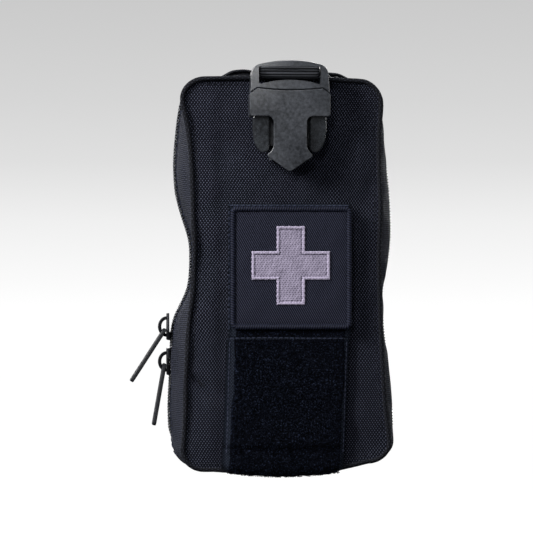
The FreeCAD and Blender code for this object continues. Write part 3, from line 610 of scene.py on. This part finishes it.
def panel_depth(x, z, share, side):
    """How far the panel stands out from the mid-plane; share is 0 at its middle and 1 at its seam."""
    fall = np.where(x > 0, 2.5, 1.5) * (x / 40) ** 2 * (1 - share ** 9) * (side < 0)
    crown = SEAM_Y + (PANEL_Y - SEAM_Y) * (1 - share ** 5) - fall
    swell = 0.9 * climb(np.abs(x), 27.5, 31.5) * (1 - share ** 8)
    waves = 0.34 * ripple(x, z, 44, 11 if side < 0 else 17) + 0.16 * ripple(x, z, 17, 5)
    depth = crown + swell + waves * (1 - share ** 10)
    if side > 0:
        return np.minimum(depth, BACK_LIMIT)
    for height, start, end, width in FRONT_CREASES:
        depth += height * crease(x, z, start, end, width)
    behind_strap = (np.abs(x) < 27.2) & (z < 116)
    behind_buckle = (np.abs(x) < 19) & (z > 126)
    return np.minimum(depth, np.where(behind_strap | behind_buckle, PANEL_Y, FRONT_LIMIT))


def shell(name, side, body, seed):
    """One half of the pouch as a closed form: bulging panel, flaring wall, rolled edge and inner lining."""
    seam, rim = seam_line(side), zip_line()
    centre = np.array([0.0, CENTRE_Z])

    def wall(drop):
        return seam + (rim - seam) * math.sin(drop * math.pi / 2) ** 0.85

    rings = []
    for share in 1 - (1 - np.linspace(0.02, 1, 44)) ** 1.35:
        flat = centre + (seam - centre) * share
        rings.append(ring3(flat, side * panel_depth(*flat.T, share, side)))
    panel_rings = len(rings)
    for drop in np.linspace(0, 1, 26)[1:]:
        y = SEAM_Y + (ZIP_Y - SEAM_Y) * drop
        puff = 0.75 * math.sin(drop * math.pi)
        waves = 0.55 * ripple(RUN, y, 30, seed) + 0.25 * ripple(RUN, 2.2 * y, 13, seed + 1)
        hood = 1.2 * bell(drop, 0.84, 0.13) * bell(LINE_Z, 48, 10) * (LINE_X < 0) * (side < 0)
        bulge = np.minimum(puff * climb(LINE_Z, 12, 24) * waves + 0.35 * puff, 0.9) + hood
        flat = wall(drop) + OUTWARD * np.where(LINE_Z < 4, np.minimum(bulge, 0.0), bulge)[:, None]
        rings.append(ring3(flat, side * y))
    outer_rings = len(rings)
    wall_lining, top_y, wall_thick = (1.0, 0.8, 0.55, 0.3, 0.1, 0.0), SEAM_Y - 1.9, 2.1
    for drop in wall_lining:
        y = top_y + (ZIP_Y - 0.1 - top_y) * drop
        rings.append(ring3(wall(drop) - OUTWARD * wall_thick, side * y))
    for share in (0.9, 0.7, 0.45, 0.2, 0.02):
        rings.append(ring3(centre + (seam - centre) * share * 0.95, side * LINING_Y))

    verts = np.concatenate(rings)
    faces = grid_faces(len(rings), COLUMNS, closed_cols=True)
    row = faces[:, 0] // COLUMNS
    lap = RUN[faces % COLUMNS]
    crosses_start = (np.ptp(lap, axis=1) > 100)[:, None] & (lap < 100)
    lap = lap + crosses_start * (RUN[-1] + RUN[1])
    wall_uv = np.stack([np.abs(verts[faces][..., 1]), lap], 2)
    on_wall = (row >= panel_rings - 1) & (row < outer_rings + len(wall_lining) - 1)
    k = np.arange(COLUMNS)
    after, last, hub = (k + 1) % COLUMNS, (len(rings) - 1) * COLUMNS, np.full(COLUMNS, len(verts))
    fans = np.concatenate([np.stack([after, k, hub], 1), np.stack([last + k, last + after, hub + 1], 1)])
    verts = np.concatenate([verts, [[0, side * PANEL_Y, CENTRE_Z], [0, side * LINING_Y, CENTRE_Z]]])
    uvs = [np.where(on_wall[:, None, None], wall_uv, verts[faces][..., [0, 2]]), verts[fans][..., [0, 2]]]
    polygons = [corners[::-side] for corners in faces.tolist() + fans.tolist()]
    uv = np.concatenate([part[:, ::-side].reshape(-1, 2) for part in uvs])
    piece = build(name, verts, polygons, CLOTH, body, uv)
    piece.data.materials.append(LINING)
    inner = np.concatenate([row >= outer_rings, np.repeat([False, True], COLUMNS)])
    piece.data.polygons.foreach_set("material_index", inner.astype(np.int32))
    return piece


stands_for(shell("front_shell_cloth", -1, "front_shell", 31), "shell_fabric", "front_panel", "front_gusset")
stands_for(shell("rear_shell_cloth", 1, "rear_shell", 47), "shell_fabric", "back_panel", "rear_gusset")


# ---------------- bound seams and their stitching

def binding(name, side, body, node, seed):
    """The folded tape bound over the seam, thicker at some places than at others, with its row of stitches."""
    def ridge(s, a):
        return 0.10 * ripple(s, 6 * a, 16, seed) + 0.05 * np.abs(np.sin(math.pi * s / 0.9)) * (np.cos(a) > -0.2)

    seam = seam_line(side)
    centre = ring3(seam + OUTWARD * 0.15, side * (SEAM_Y + 0.35 + 0.2 * ripple(RUN, 0 * RUN, 60, seed)))
    out = ring3(0.75 * OUTWARD, side * 0.65)
    piece = tube(name, centre, 0.92, BOUND, body, 14, out, closed=True, ridge=ridge, oval=1.15)
    stands_for(piece, "binding", node)
    inset = seam - OUTWARD * 2.3
    line = ring3(inset, side * (panel_depth(*inset.T, 0.945, side) + 0.02))
    sew(name + "_stitches", [(np.concatenate([line, line[:1]]), 2.9)], side * Y, 0.15, body, 0.10, DARK_THREAD)


binding("front_binding", -1, "front_shell", "front_piping", 3)
binding("rear_binding", 1, "rear_shell", "rear_piping", 4)


# ---------------- zipper and hinge

ENDS_Z = 8.5  # the zipper's ends; below them the two halves meet in the hinge
ABOVE = np.where(LINE_Z > ENDS_Z)[0]
BELOW = np.concatenate([np.where((LINE_Z <= ENDS_Z) & half)[0] for half in (LINE_X > 0, LINE_X <= 0)])


def edge_sleeve(name, flat, out, reach, lifts, middle, way, material, body):
    """Flat cloth along the zipper: its two faces raised by lifts, and y its middle plus reach along way."""
    cols = len(reach)
    ring, lift = np.concatenate([reach, reach[::-1]]), np.repeat(lifts, cols)
    x, z = np.moveaxis(flat[:, None] + out[:, None] * lift[:, None], 2, 0)
    z = np.maximum(z, BASE_LIMIT + 0.5 * (lift < 0))
    verts = np.stack([x, np.broadcast_to(middle + way * ring, x.shape), z], 2)
    uv = np.stack(np.broadcast_arrays(ring, run_along(flat)[:, None]), 2).reshape(-1, 2)
    return build(name, verts.reshape(-1, 3), sleeve_faces(len(flat), cols), material, body, uv)


def zipper(prefix, side, body):
    """Tape and coil of one half, from its stop at the lower left over the top to the lower right."""
    out = OUTWARD[ABOVE]
    dive = out * 2.2 * climb(LINE_Z[ABOVE], 19, 9)[:, None]
    tape = edge_sleeve(prefix + "_tape_cloth", zip_line(-0.35)[ABOVE] - dive, out, np.linspace(-2.0, 1.85, 8),
            (0.42, -0.42), side * 2.12, -side, TAPE, body)
    stands_for(tape, "zipper_tape", prefix + "_zipper_tape")
    step, pitch = 0.16, 1.25
    wire = ring3(zip_line(0.62)[ABOVE] - dive, side * 1.02)
    fine = resampled(np.concatenate([wire, ring3(out, 0)], 1), step)
    normal = unit(fine[:, 3:])
    turn = TAU * np.arange(len(fine)) * step / pitch + (math.pi if side > 0 else 0)
    helix = fine[:, :3] + normal * (0.55 * np.cos(turn))[:, None]
    helix[:, 1] += side * 1.12 * np.sin(turn)
    coil = tube(prefix + "_coil_wire", helix, 0.30, COIL, body, 6, normal)
    stands_for(coil, "zipper_coil", prefix + "_zipper_coil")
    seam = ring3(zip_line(0.25)[ABOVE], side * (ZIP_Y + 1.1))
    sew(prefix + "_zipper_stitches", [(seam, 2.6)], (0, 0.001, 1), 0.15, body, 0.05)


zipper("front", -1, "front_shell")
zipper("rear", 1, "rear_shell")

fold = edge_sleeve("hinge_cloth", zip_line(0.25)[BELOW], OUTWARD[BELOW], np.linspace(-6.5, 6.5, 17), (0.3, -0.5),
        0, 1, CLOTH, None)
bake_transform(fold)


# ---------------- loop field and strap under the base

STRAP_WIDTH = 51.6
FRONT_Y = -33.8


def drift_left(z):
    """How far the strap drifts to the left below its top seam."""
    return -2.4 * climb(z, 58, 4)


def strap_path():
    """Middle of the loop-faced strap: down the front, round the lower edge and under the base, as (y, z)."""
    down = [(0, 114.9), (0, 60), (-0.3, 30), (-0.5, 16), (-0.4, 13.8), (0.35, 12.7), (0.3, 8)]
    return [(FRONT_Y + y, z) for y, z in down] + arc((-30.6, 4.4), 3.0, 170, 262, 8)[1:] + [
        (-26, 0.95), (-1.2, 0.95)]


def loop_tape():
    """Backing cloth of the loop tape with its two woven edges, and the strip under the rear half."""
    path = [(drift_left(z), y, z) for y, z in strap_path()]
    field = [(0.6, y, z) for _, y, z in path if z > 59.5] + [(0.6, FRONT_Y, 59.0)]
    lower = [(0, FRONT_Y - 0.05, 58.8)] + [p for p in path if p[2] < 58]
    under = [(-2.3, -0.6, 0.85), (-2.3, 28.8, 0.85)]
    for name, points, thick, body, step, node in (
            ("loop_field_backing", field, 1.2, "front_shell", 0.8, "loop_field"),
            ("base_strap_backing", lower, 1.1, "front_shell", 0.7, "base_strap_front"),
            ("base_strap_under", under, 1.1, "rear_shell", 0.7, "base_strap_rear")):
        piece = strip(name, points, STRAP_WIDTH, X, thick, SELVAGE, body, step, 26, 0.04, 0.8)
        stands_for(piece, "loop_pile", node)


loop_tape()


def pile_patch(name, low, high, half, count, seed, bend=False):
    """Loop pile as small bent fibres on a soft ground that covers the tape between its woven edges."""
    line = resampled(strap_path(), 0.2)
    run = run_along(line)
    first = np.interp(-high, -line[:, 1], run)
    last = first + high + 0.1 if bend else np.interp(-low, -line[:, 1], run)
    ahead = unit(np.gradient(line, axis=0))

    def spot(s, x, lift):
        y, z, ny, nz = (np.interp(s, run, values) for values in (*line.T, -ahead[:, 1], ahead[:, 0]))
        return np.stack([x + 0.75 + drift_left(z), y - np.abs(ny) * lift, z + nz * lift * np.sign(-ny + 1e-9)], -1)

    rows, cols = 90, 70
    s, x = np.meshgrid(np.linspace(first, last, rows), np.linspace(-half, half, cols), indexing="ij")
    inside = climb(np.abs(x), half, half - 0.9) ** 0.5
    level = 0.55 + inside * (0.45 + 0.16 * ripple(x, s, 2.6, seed)) + 0.10 * ripple(x, s, 9, seed + 1)
    ground = spot(s, x + 0.3 * ripple(s, 0 * x, 14, seed), level).reshape(-1, 3)
    uv = np.stack([x.ravel(), s.ravel()], 1)
    build(name + "_ground", ground, grid_faces(rows, cols)[:, ::-1], PILE, "front_shell", uv)

    rng = np.random.default_rng(seed)
    s, x = rng.uniform(first, last, count), rng.uniform(-half, half, count)
    lean, spin = rng.uniform(0.2, 1.1, count), rng.uniform(0, TAU, count)
    tall = rng.uniform(0.5, 1.0, count)
    steps = np.linspace(0, 1, 5)
    reach = lean[:, None] * np.sin(steps * math.pi * 0.9)
    height = 0.75 + tall[:, None] * np.sin(steps * math.pi * 0.72)
    middle = spot(np.clip(s[:, None] + reach * np.sin(spin)[:, None], 0, run[-1]),
            x[:, None] + reach * np.cos(spin)[:, None], height)
    wide = np.stack([-np.sin(spin), np.zeros(count), np.cos(spin)], 1)[:, None] * 0.11
    verts = np.stack([middle - wide, middle + wide], 2).reshape(-1, 3)
    verts[:, 2] = np.maximum(verts[:, 2], 0.15)
    one = np.array([[2 * k, 2 * k + 1, 2 * k + 3, 2 * k + 2] for k in range(len(steps) - 1)])
    faces = (np.arange(count)[:, None, None] * (2 * len(steps)) + one).reshape(-1, 4)
    build(name + "_fibres", verts, faces, PILE, "front_shell")


pile_patch("loop_pile_lower", 5.0, 58.3, 23.2, 9000, 21, bend=True)
pile_patch("loop_pile_upper", 59.2, 112.6, 23.0, 1500, 22)

sew("loop_tape_stitches", [
    ([(-25.0, -35.35, 58.8), (-8.0, -35.4, 59.1), (6.0, -35.4, 58.8), (25.2, -35.3, 58.7)], 2.3),
    *[([(x, y, z), (x2, y, z2)], 2.4) for y, x, z, x2, z2 in (
        (-34.55, -24.6, 57.5, -26.1, 9.0), (-34.55, 24.6, 57.5, 23.0, 9.0), (-34.5, -24.8, 114.3, 26.0, 114.3),
        (-34.5, -24.9, 112.4, -24.9, 60.0), (-34.5, 24.9, 112.4, 24.9, 60.0))]], -Y, 0.19, "front_shell", 0.10)

# Near the base the strap's edges curve up with the pouch's lower corners.
for name in ("base_strap_backing", "base_strap_under", "loop_pile_lower_ground", "loop_pile_lower_fibres",
        "loop_tape_stitches"):
    for vert in bpy.data.objects[name].data.vertices:
        offset, low = (vert.co.x / MM + 2.0) / 25.0, min(max((15.0 - vert.co.z / MM) / 10.0, 0.0), 1.0)
        vert.co.z += 1.9 * MM * offset ** 2 * low


# ---------------- patch

PATCH_X, PATCH_Z, EDGE_Y = 1.1, 88.2, -36.0
CROSS_X, CROSS_Z, CROSS_Y = 0.85, 89.2, -36.42


def cushion(name, width, height, y_face, y_back, material, body, slot, node, bulge=0.0, count=90, centre_z=PATCH_Z,
        centre_x=0.0, waves=0.08, seed=9):
    """A flat cloth piece with thickness: crowned face, rolled edges and a plain back."""
    u = np.linspace(-1, 1, count)
    x, z = np.meshgrid(u, u, indexing="ij")
    roll = (1 - np.maximum(np.abs(x), np.abs(z)) ** 12) ** 0.5
    outwards = np.sign(y_face - y_back)
    face = y_back + (y_face - y_back) * (0.25 + 0.75 * roll) + outwards * bulge * (1 - x ** 4) * (1 - z ** 4)
    face = face + outwards * waves * ripple(x * width, z * height, 30, seed) * roll
    px, pz = centre_x + x * width / 2, centre_z + z * height / 2
    verts = np.concatenate([np.stack([px, y, pz], -1).reshape(-1, 3) for y in (face, np.full_like(px, y_back))])
    faces = slab_faces(grid_faces(count, count), count * count)
    piece = build(name, verts, faces[:, ::-1] if outwards > 0 else faces, material, body, verts[:, [0, 2]])
    return stands_for(piece, slot, node)


cushion("patch_hook_layer", 47.4, 47.8, -35.55, -34.65, HOOK, "patch", "hook_tape", "patch_hook_backing", count=40,
        centre_x=PATCH_X)
cushion("patch_twill_cloth", 48.4, 48.8, -36.45, -35.58, TWILL, "patch", "patch_twill", "patch_twill", 0.12, 100,
        centre_x=PATCH_X)


def merrow():
    """The overlocked edge: threads laid side by side over a core, slanting round the patch's rim."""
    def ridge(s, a):
        return 0.30 * np.abs(np.sin(math.pi * (s + 0.36 * a) / 1.02)) - 0.12 + 0.04 * ripple(s, a, 3.0, 5)

    half_x, half_z, radius = 48.9 / 2, 49.3 / 2, 1.6
    corners = rounded_corners(half_x, -half_z, half_z, radius, 7)
    offset = ring3(resampled([*corners, corners[0]], 0.16)[:-1], 0)
    size = np.abs(offset)
    out = np.sign(offset) * (size > size.max(1, keepdims=True) - 1.0) - 0.4 * Y
    centre = offset + (PATCH_X, EDGE_Y, PATCH_Z)
    piece = tube("patch_merrow", centre, 1.0, MERROW, "patch", 14, out, True, ridge, 0.95)
    stands_for(piece, "patch_thread", "patch_merrowed_edge")


merrow()


def embroidered_cross():
    """The cross: a filled field of short brick-laid stitches inside a raised satin outline."""
    arm, reach, count = 6.05, 16.55, 236
    brick, row_height = 1.22, 0.84
    u = np.linspace(-reach, reach, count)
    x, z = np.meshgrid(u, u, indexing="ij")
    jitter = 0.10 * np.sin(z * 3.1) * np.sin(x * 2.3)
    ax, az = np.abs(x + jitter), np.abs(z + jitter)
    depth = np.where(ax > arm, np.minimum(arm - az, reach - ax), np.minimum(arm - ax, reach - az))
    depth = np.where((ax <= arm) & (az <= arm), np.maximum(arm - ax, arm - az), depth)
    keep = ((ax <= arm) | (az <= arm)) & (np.maximum(ax, az) <= reach + 1e-6)
    satin = climb(depth, 1.35, 1.05)
    groove = bell(depth, 1.62, 0.20)
    edge_run = np.where(az > ax, x, z)
    edge_run = np.where((ax > arm) & (reach - ax < arm - az), z, edge_run)
    edge_run = np.where((az > arm) & (reach - az < arm - ax), x, edge_run)
    satin_rib = np.abs(np.sin(math.pi * edge_run / 0.46))
    dash = 0.5 + 0.5 * np.sign(np.sin(edge_run * TAU / 2.0))
    row = np.floor(z / row_height)
    along_brick = (x / brick + 0.5 * (row % 2) + 0.11 * np.sin(row * 2.4)) % 1
    fill = 1 - 0.95 * bell(along_brick, 0.5, 0.26) * bell((z / row_height) % 1, 0.5, 0.26)
    height = 0.36 + 0.12 * fill + satin * (0.22 + 0.06 * satin_rib) - 0.16 * groove * (0.4 + 0.6 * dash)
    height = height * climb(depth, 0, 0.35) ** 0.5 + 0.03 * ripple(x, z, 2.4, 8)
    # Brightness per vertex: painted shade in the gaps between the fill's bricks and in the dashed groove inside the
    # outline, painted highlights on the raised satin and its ribs; the ripples add random variation.
    tone = 0.16 + 0.56 * fill + satin * (0.16 + 0.12 * satin_rib) - 0.40 * groove * (0.35 + 0.65 * dash)
    tone += 0.05 * ripple(x, z, 5.0, 13) + 0.04 * ripple(x, z, 1.1, 14)

    faces = grid_faces(count, count)
    faces = faces[keep.ravel()[faces].all(1)]
    used = np.unique(faces)
    order = np.full(count * count, -1)
    order[used] = np.arange(len(used))
    top = np.stack([CROSS_X + x, CROSS_Y - np.where(keep, height, 0), CROSS_Z + z], -1).reshape(-1, 3)[used]
    verts = np.concatenate([top, ring3(top[:, [0, 2]], CROSS_Y + 0.12)])
    tones_and_painted_light = np.clip(np.tile(tone.ravel()[used], 2), 0, 1)
    piece = build("patch_cross_embroidery", verts, slab_faces(order[faces], len(used)), CROSS, "patch",
            verts[:, [0, 2]], tones_and_painted_light)
    stands_for(piece, "cross_thread", "patch_cross")


embroidered_cross()


# ---------------- webbing of the buckle

INCH_STRAP = 25.2
strap = [(-5.2, 167.82), (-20, 167.85), (-33.0, 167.95)] + arc((-37.0, 170.25), 2.075, 262, 82, 22) + [
    (-34.6, 171.6), (-32.6, 169.9), (-29.5, 169.4), (-5.2, 169.3)]
top_strap = strip("top_strap_webbing", [(0, *p) for p in strap], INCH_STRAP, X, 1.3, RIBBED, None, 0.13, 22, 0.20,
        1.0)
stands_for(top_strap, "webbing", "top_strap")
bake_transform(top_strap)

tab = [(-33.75, 149.8), (-33.75, 139)] + arc((-36.1, 134.6), 2.05, 40, -200, 26) + [(-37.9, 137.0)]
stands_for(strip("socket_tab_webbing", [(0, *p) for p in tab], 13.8, X, 1.25, WEB, "front_shell", 0.2, 14, 0.08),
        "webbing", "socket_tab")

box = [(x, y, 170.05) for x, y in ((-10.6, -22.5), (10.6, -22.5), (10.6, -7.0), (-10.6, -7.0))]
sew("top_strap_stitches", [(box + box[:1], 2.2), (box[::2], 2.2), (box[1::2], 2.2)], Z, 0.2, "front_shell", 0.1)


# ---------------- grab handle

def handle_path():
    """The handle's middle line: feet sewn down, two round shoulders and a sagging middle."""
    knots = [(-37.5, 168.0), (-30.8, 168.1), (-27.4, 169.0), (-24.2, 171.0), (-20.2, 173.3), (-15.0, 173.8),
            (-8.0, 172.6), (4.0, 171.8), (13.0, 172.0), (20.0, 172.7), (26.0, 172.3), (29.8, 170.4),
            (32.4, 168.8), (34.8, 168.1), (38.0, 168.0)]
    x, z = (smoothed(values, 2.2, 5) for values in resampled(knots, 0.5).T)
    middle_y = 19.0
    return ring3(np.stack([x, z], 1), middle_y)


grip = strip("grab_handle_webbing", handle_path(), 19.6, Y, 1.7, WEB, "rear_shell", 0.3, 18, 0.10)
stands_for(grip, "webbing", "grab_handle")
lining = [(x * 0.97, y, z - 1.75) for x, y, z in handle_path() if abs(x - 2.8) < 23.5]
strip("grab_handle_lining", lining, 18.4, Y, 2.2, WEB, "rear_shell", 0.3, 18, 0.06)
sew("grab_handle_stitches", [
    ([(x, y, 169.1) for x, y in ((a, 10.5), (b, 10.5), (b, 27.5), (a, 27.5), (a, 10.5))], 2.0)
    for a, b in ((-37.0, -31.5), (35.4, 37.6))], Z, 0.2, "rear_shell", 0.08)


# ---------------- back: rows of attachment webbing and two straps

starts, ends = [], []
for index, (low, high, left) in enumerate(((27.0, 52.4, -39.6), (77.8, 103.2, -35.4), (128.6, 154.0, -39.6))):
    level = (low + high) / 2
    path = [(left, 33.8, level), (-30, 33.75, level), (0, 33.8, level), (30, 33.75, level), (40.0, 33.8, level)]
    row = strip(f"pals_row_{index + 1}", path, high - low - 0.2, Z, 1.25, WEB, "rear_shell", 0.5, 20, 0.05, 0.85,
            index, 0.04)
    stands_for(row, "webbing", *(["pals_rows"] if index == 0 else []))
    rise = 0.62
    for x in (left + 2.0, 0.0, 38.0):
        count = int((high - low - 3) / rise)
        zig = [(x + (0.9 if k % 2 else -0.9), 34.5, low + 1.5 + k * rise) for k in range(count)]
        starts += zig[:-1]
        ends += zig[1:]
tacks = threads("pals_bar_tacks", np.array(starts), np.array(ends), Y, 0.2, SEWING, "rear_shell", 0.12)

for side, label in ((-1, "left"), (1, "right")):
    x, body = side * 19.05, f"molle_strap_{label}"
    path = [(x, 35.2, 158.4), (x, 35.35, 155.3), (x, 35.3, 120), (x, 35.4, 80), (x, 35.3, 40), (x, 35.35, 9.2)]
    flap = strip(f"{body}_webbing", path, INCH_STRAP, X, 1.35, WEB, None, 0.5, 20, 0.05, 0.85, 3, 0.03)
    stands_for(flap, "webbing", body)
    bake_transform(flap)
    sew(f"{body}_stitches", [
        *[([(at, 36.1, 152), (at, 36.1, 11)], 3.0) for at in (x - 11, x + 11)],
        ([(x - 10, 36.1, 27), (x + 10, 36.1, 27)], 2.4)], Y, 0.18, body, 0.08)
    anchor = strip(f"molle_anchor_{label}", [(x, 35.0, 162.0), (x, 35.1, 158.6)], INCH_STRAP, X, 1.9, WEB,
            "rear_shell", 0.4, 20, 0.05)
    stands_for(anchor, "webbing", *(["molle_strap_anchors"] if side < 0 else []))
    sew(f"molle_anchor_{label}_stitches", [
        ([(x - 11, 36.02, level), (x + 11, 36.02, level)], 1.6) for level in (161.2, 159.4)],
        Y, 0.18, "rear_shell", 0.08)


# ---------------- inside

board = cushion("back_board_pad", 80.0, 150.0, 29.15, 30.45, LINING, "rear_shell", "stiffener", "back_board", 0.0, 60,
        84.4)
for vert in board.data.vertices:
    profile, widest = (LEFT_SEAM_REAR, 43.0) if vert.co.x < 0 else (RIGHT_SEAM, 42.4)
    vert.co.x *= float(along(vert.co.z / MM, profile)) / widest
cushion("inner_pocket_cloth", 75.6, 93.6, -22.2, -30.4, LINING, "front_shell", "shell_fabric", "inner_pocket", 0.0,
        80, 61.0, 0.0, 0.25, 12)
hem = strip("inner_pocket_hem", [(-37.6, -22.0, 107.2), (0, -21.9, 107.6), (37.6, -22.0, 107.2)], 5.0, Z, 0.9, BOUND,
        "front_shell", 0.8, 8, 0.03)
cushion("tourniquet_band_folds", 37.8, 131.8, 15.0, 28.9, TAN, "rear_shell", "tourniquet_webbing", "tourniquet_band",
        0.0, 90, 86.0, 0.0, 0.3, 14)
half_loop = [(-33, 28.9), (-26, 28.4), (-23.6, 24), (-22.6, 8), (-18, 2.9)]
loop_line = half_loop + [(0, 2.4)] + [(-x, y) for x, y in half_loop[::-1]]
for level in (46.5, 120.5):
    piece = strip(f"elastic_loop_{int(level)}", [(x, y, level) for x, y in loop_line], 24.8, Z, 1.0, ELASTIC,
            "rear_shell", 0.5, 16, 0.06, 1.1, int(level), 0.05)
    stands_for(piece, "elastic", *(["elastic_loops"] if level < 50 else []))


# ---------------- stage, light and camera

FLOOR_Z, WALL_TOP, SWEEP_RADIUS, BEND_RADIUS = -0.135, 2.4, 3.2, 0.35


def backdrop_material():
    """A pale studio sweep that glows by itself: white below, with painted shade towards light grey higher up."""
    fade_start, fade_height = -0.0072, 0.5677
    g = Graph("studio_sweep")
    level = g.maths("DIVIDE", g.plus(g.parts(g.place())[2], -fade_start), fade_height, clamp=True)
    # Painted shade in the glow: from white near the floor to light grey higher up.
    shade = g.greys(level, (0.05, 1.0), (0.13, 0.95), (0.295, 0.86), (0.46, 0.73), (0.63, 0.66), (0.80, 0.61),
            (0.96, 0.57))
    g.put(g.shader.inputs["Emission Color"], shade)
    g.shader.inputs["Emission Strength"].default_value = 1.0
    return g.finish((0.04, 0.04, 0.04, 1), 0.9, specular=0.0)


def sweep():
    """Floor and backdrop in one round, curved sheet."""
    profile = [(0.3, FLOOR_Z), (1.2, FLOOR_Z)] + arc(
        (SWEEP_RADIUS - BEND_RADIUS, FLOOR_Z + BEND_RADIUS), BEND_RADIUS, -90, 0, 14) + [(SWEEP_RADIUS, WALL_TOP)]
    columns = 96
    around = np.linspace(0, TAU, columns, endpoint=False)
    verts = np.array([(r * math.sin(a), r * math.cos(a), z) for r, z in profile for a in around]) / MM
    faces = grid_faces(len(profile), columns, closed_cols=True)[:, ::-1].tolist() + [list(range(columns))[::-1]]
    piece = build("sweep", verts, faces, backdrop_material())
    piece.visible_diffuse = piece.visible_glossy = False


def lamp(name, place, aim, width, height, power, colour=(1, 1, 1)):
    """A soft rectangular light aimed at the height aim on the object's middle axis."""
    light = bpy.data.lights.new(name, "AREA")
    light.shape, light.size, light.size_y = "RECTANGLE", width, height
    light.energy, light.color = power, colour
    lit = linked(name, light)
    lit.location = place
    lit.rotation_euler = (Vector((0, 0, aim)) - Vector(place)).to_track_quat("-Z", "Y").to_euler()


sweep()
lamp("key", (-1.05, -0.62, 0.72), 0.1, 0.40, 0.40, 28.0, (1.0, 0.99, 0.98))
lamp("fill", (1.1, -1.0, 0.40), 0.09, 0.25, 0.5, 1.4, (0.9, 0.95, 1.0))
lamp("front", (-0.32, -1.15, 0.62), 0.12, 0.22, 0.16, 3.6)
lamp("edge", (1.15, 0.30, 0.35), 0.11, 0.25, 0.6, 3.2)
lamp("top", (-0.2, -0.3, 1.3), 0.1, 0.6, 0.5, 8.0)
lamp("back", (0.35, 1.35, 0.6), 0.1, 0.6, 0.6, 26.0)
lamp("back_left", (-0.75, 1.2, 0.5), 0.1, 0.6, 0.6, 7.0)

world = bpy.data.worlds.new("studio")
bpy.context.scene.world = world
world.use_nodes = True
sky = world.node_tree.nodes["Background"]
sky.inputs["Color"].default_value, sky.inputs["Strength"].default_value = (0.92, 0.95, 1.0, 1), 0.10
bpy.context.scene.view_settings.view_transform = "Standard"

AIM, DISTANCE, TURN = Vector((-0.0062, 0.0, 0.0888)), 1.2, math.radians(-5.0)
camera = linked("camera", bpy.data.cameras.new("camera"))
camera.data.lens, camera.data.sensor_width = 188.0, 36.0
camera.data.clip_start, camera.data.clip_end = 0.05, 20
camera.location = AIM + DISTANCE * Vector((math.sin(TURN), -math.cos(TURN), 0.0))
camera.rotation_euler = (AIM - camera.location).to_track_quat("-Z", "Y").to_euler()
bpy.context.scene.camera = camera
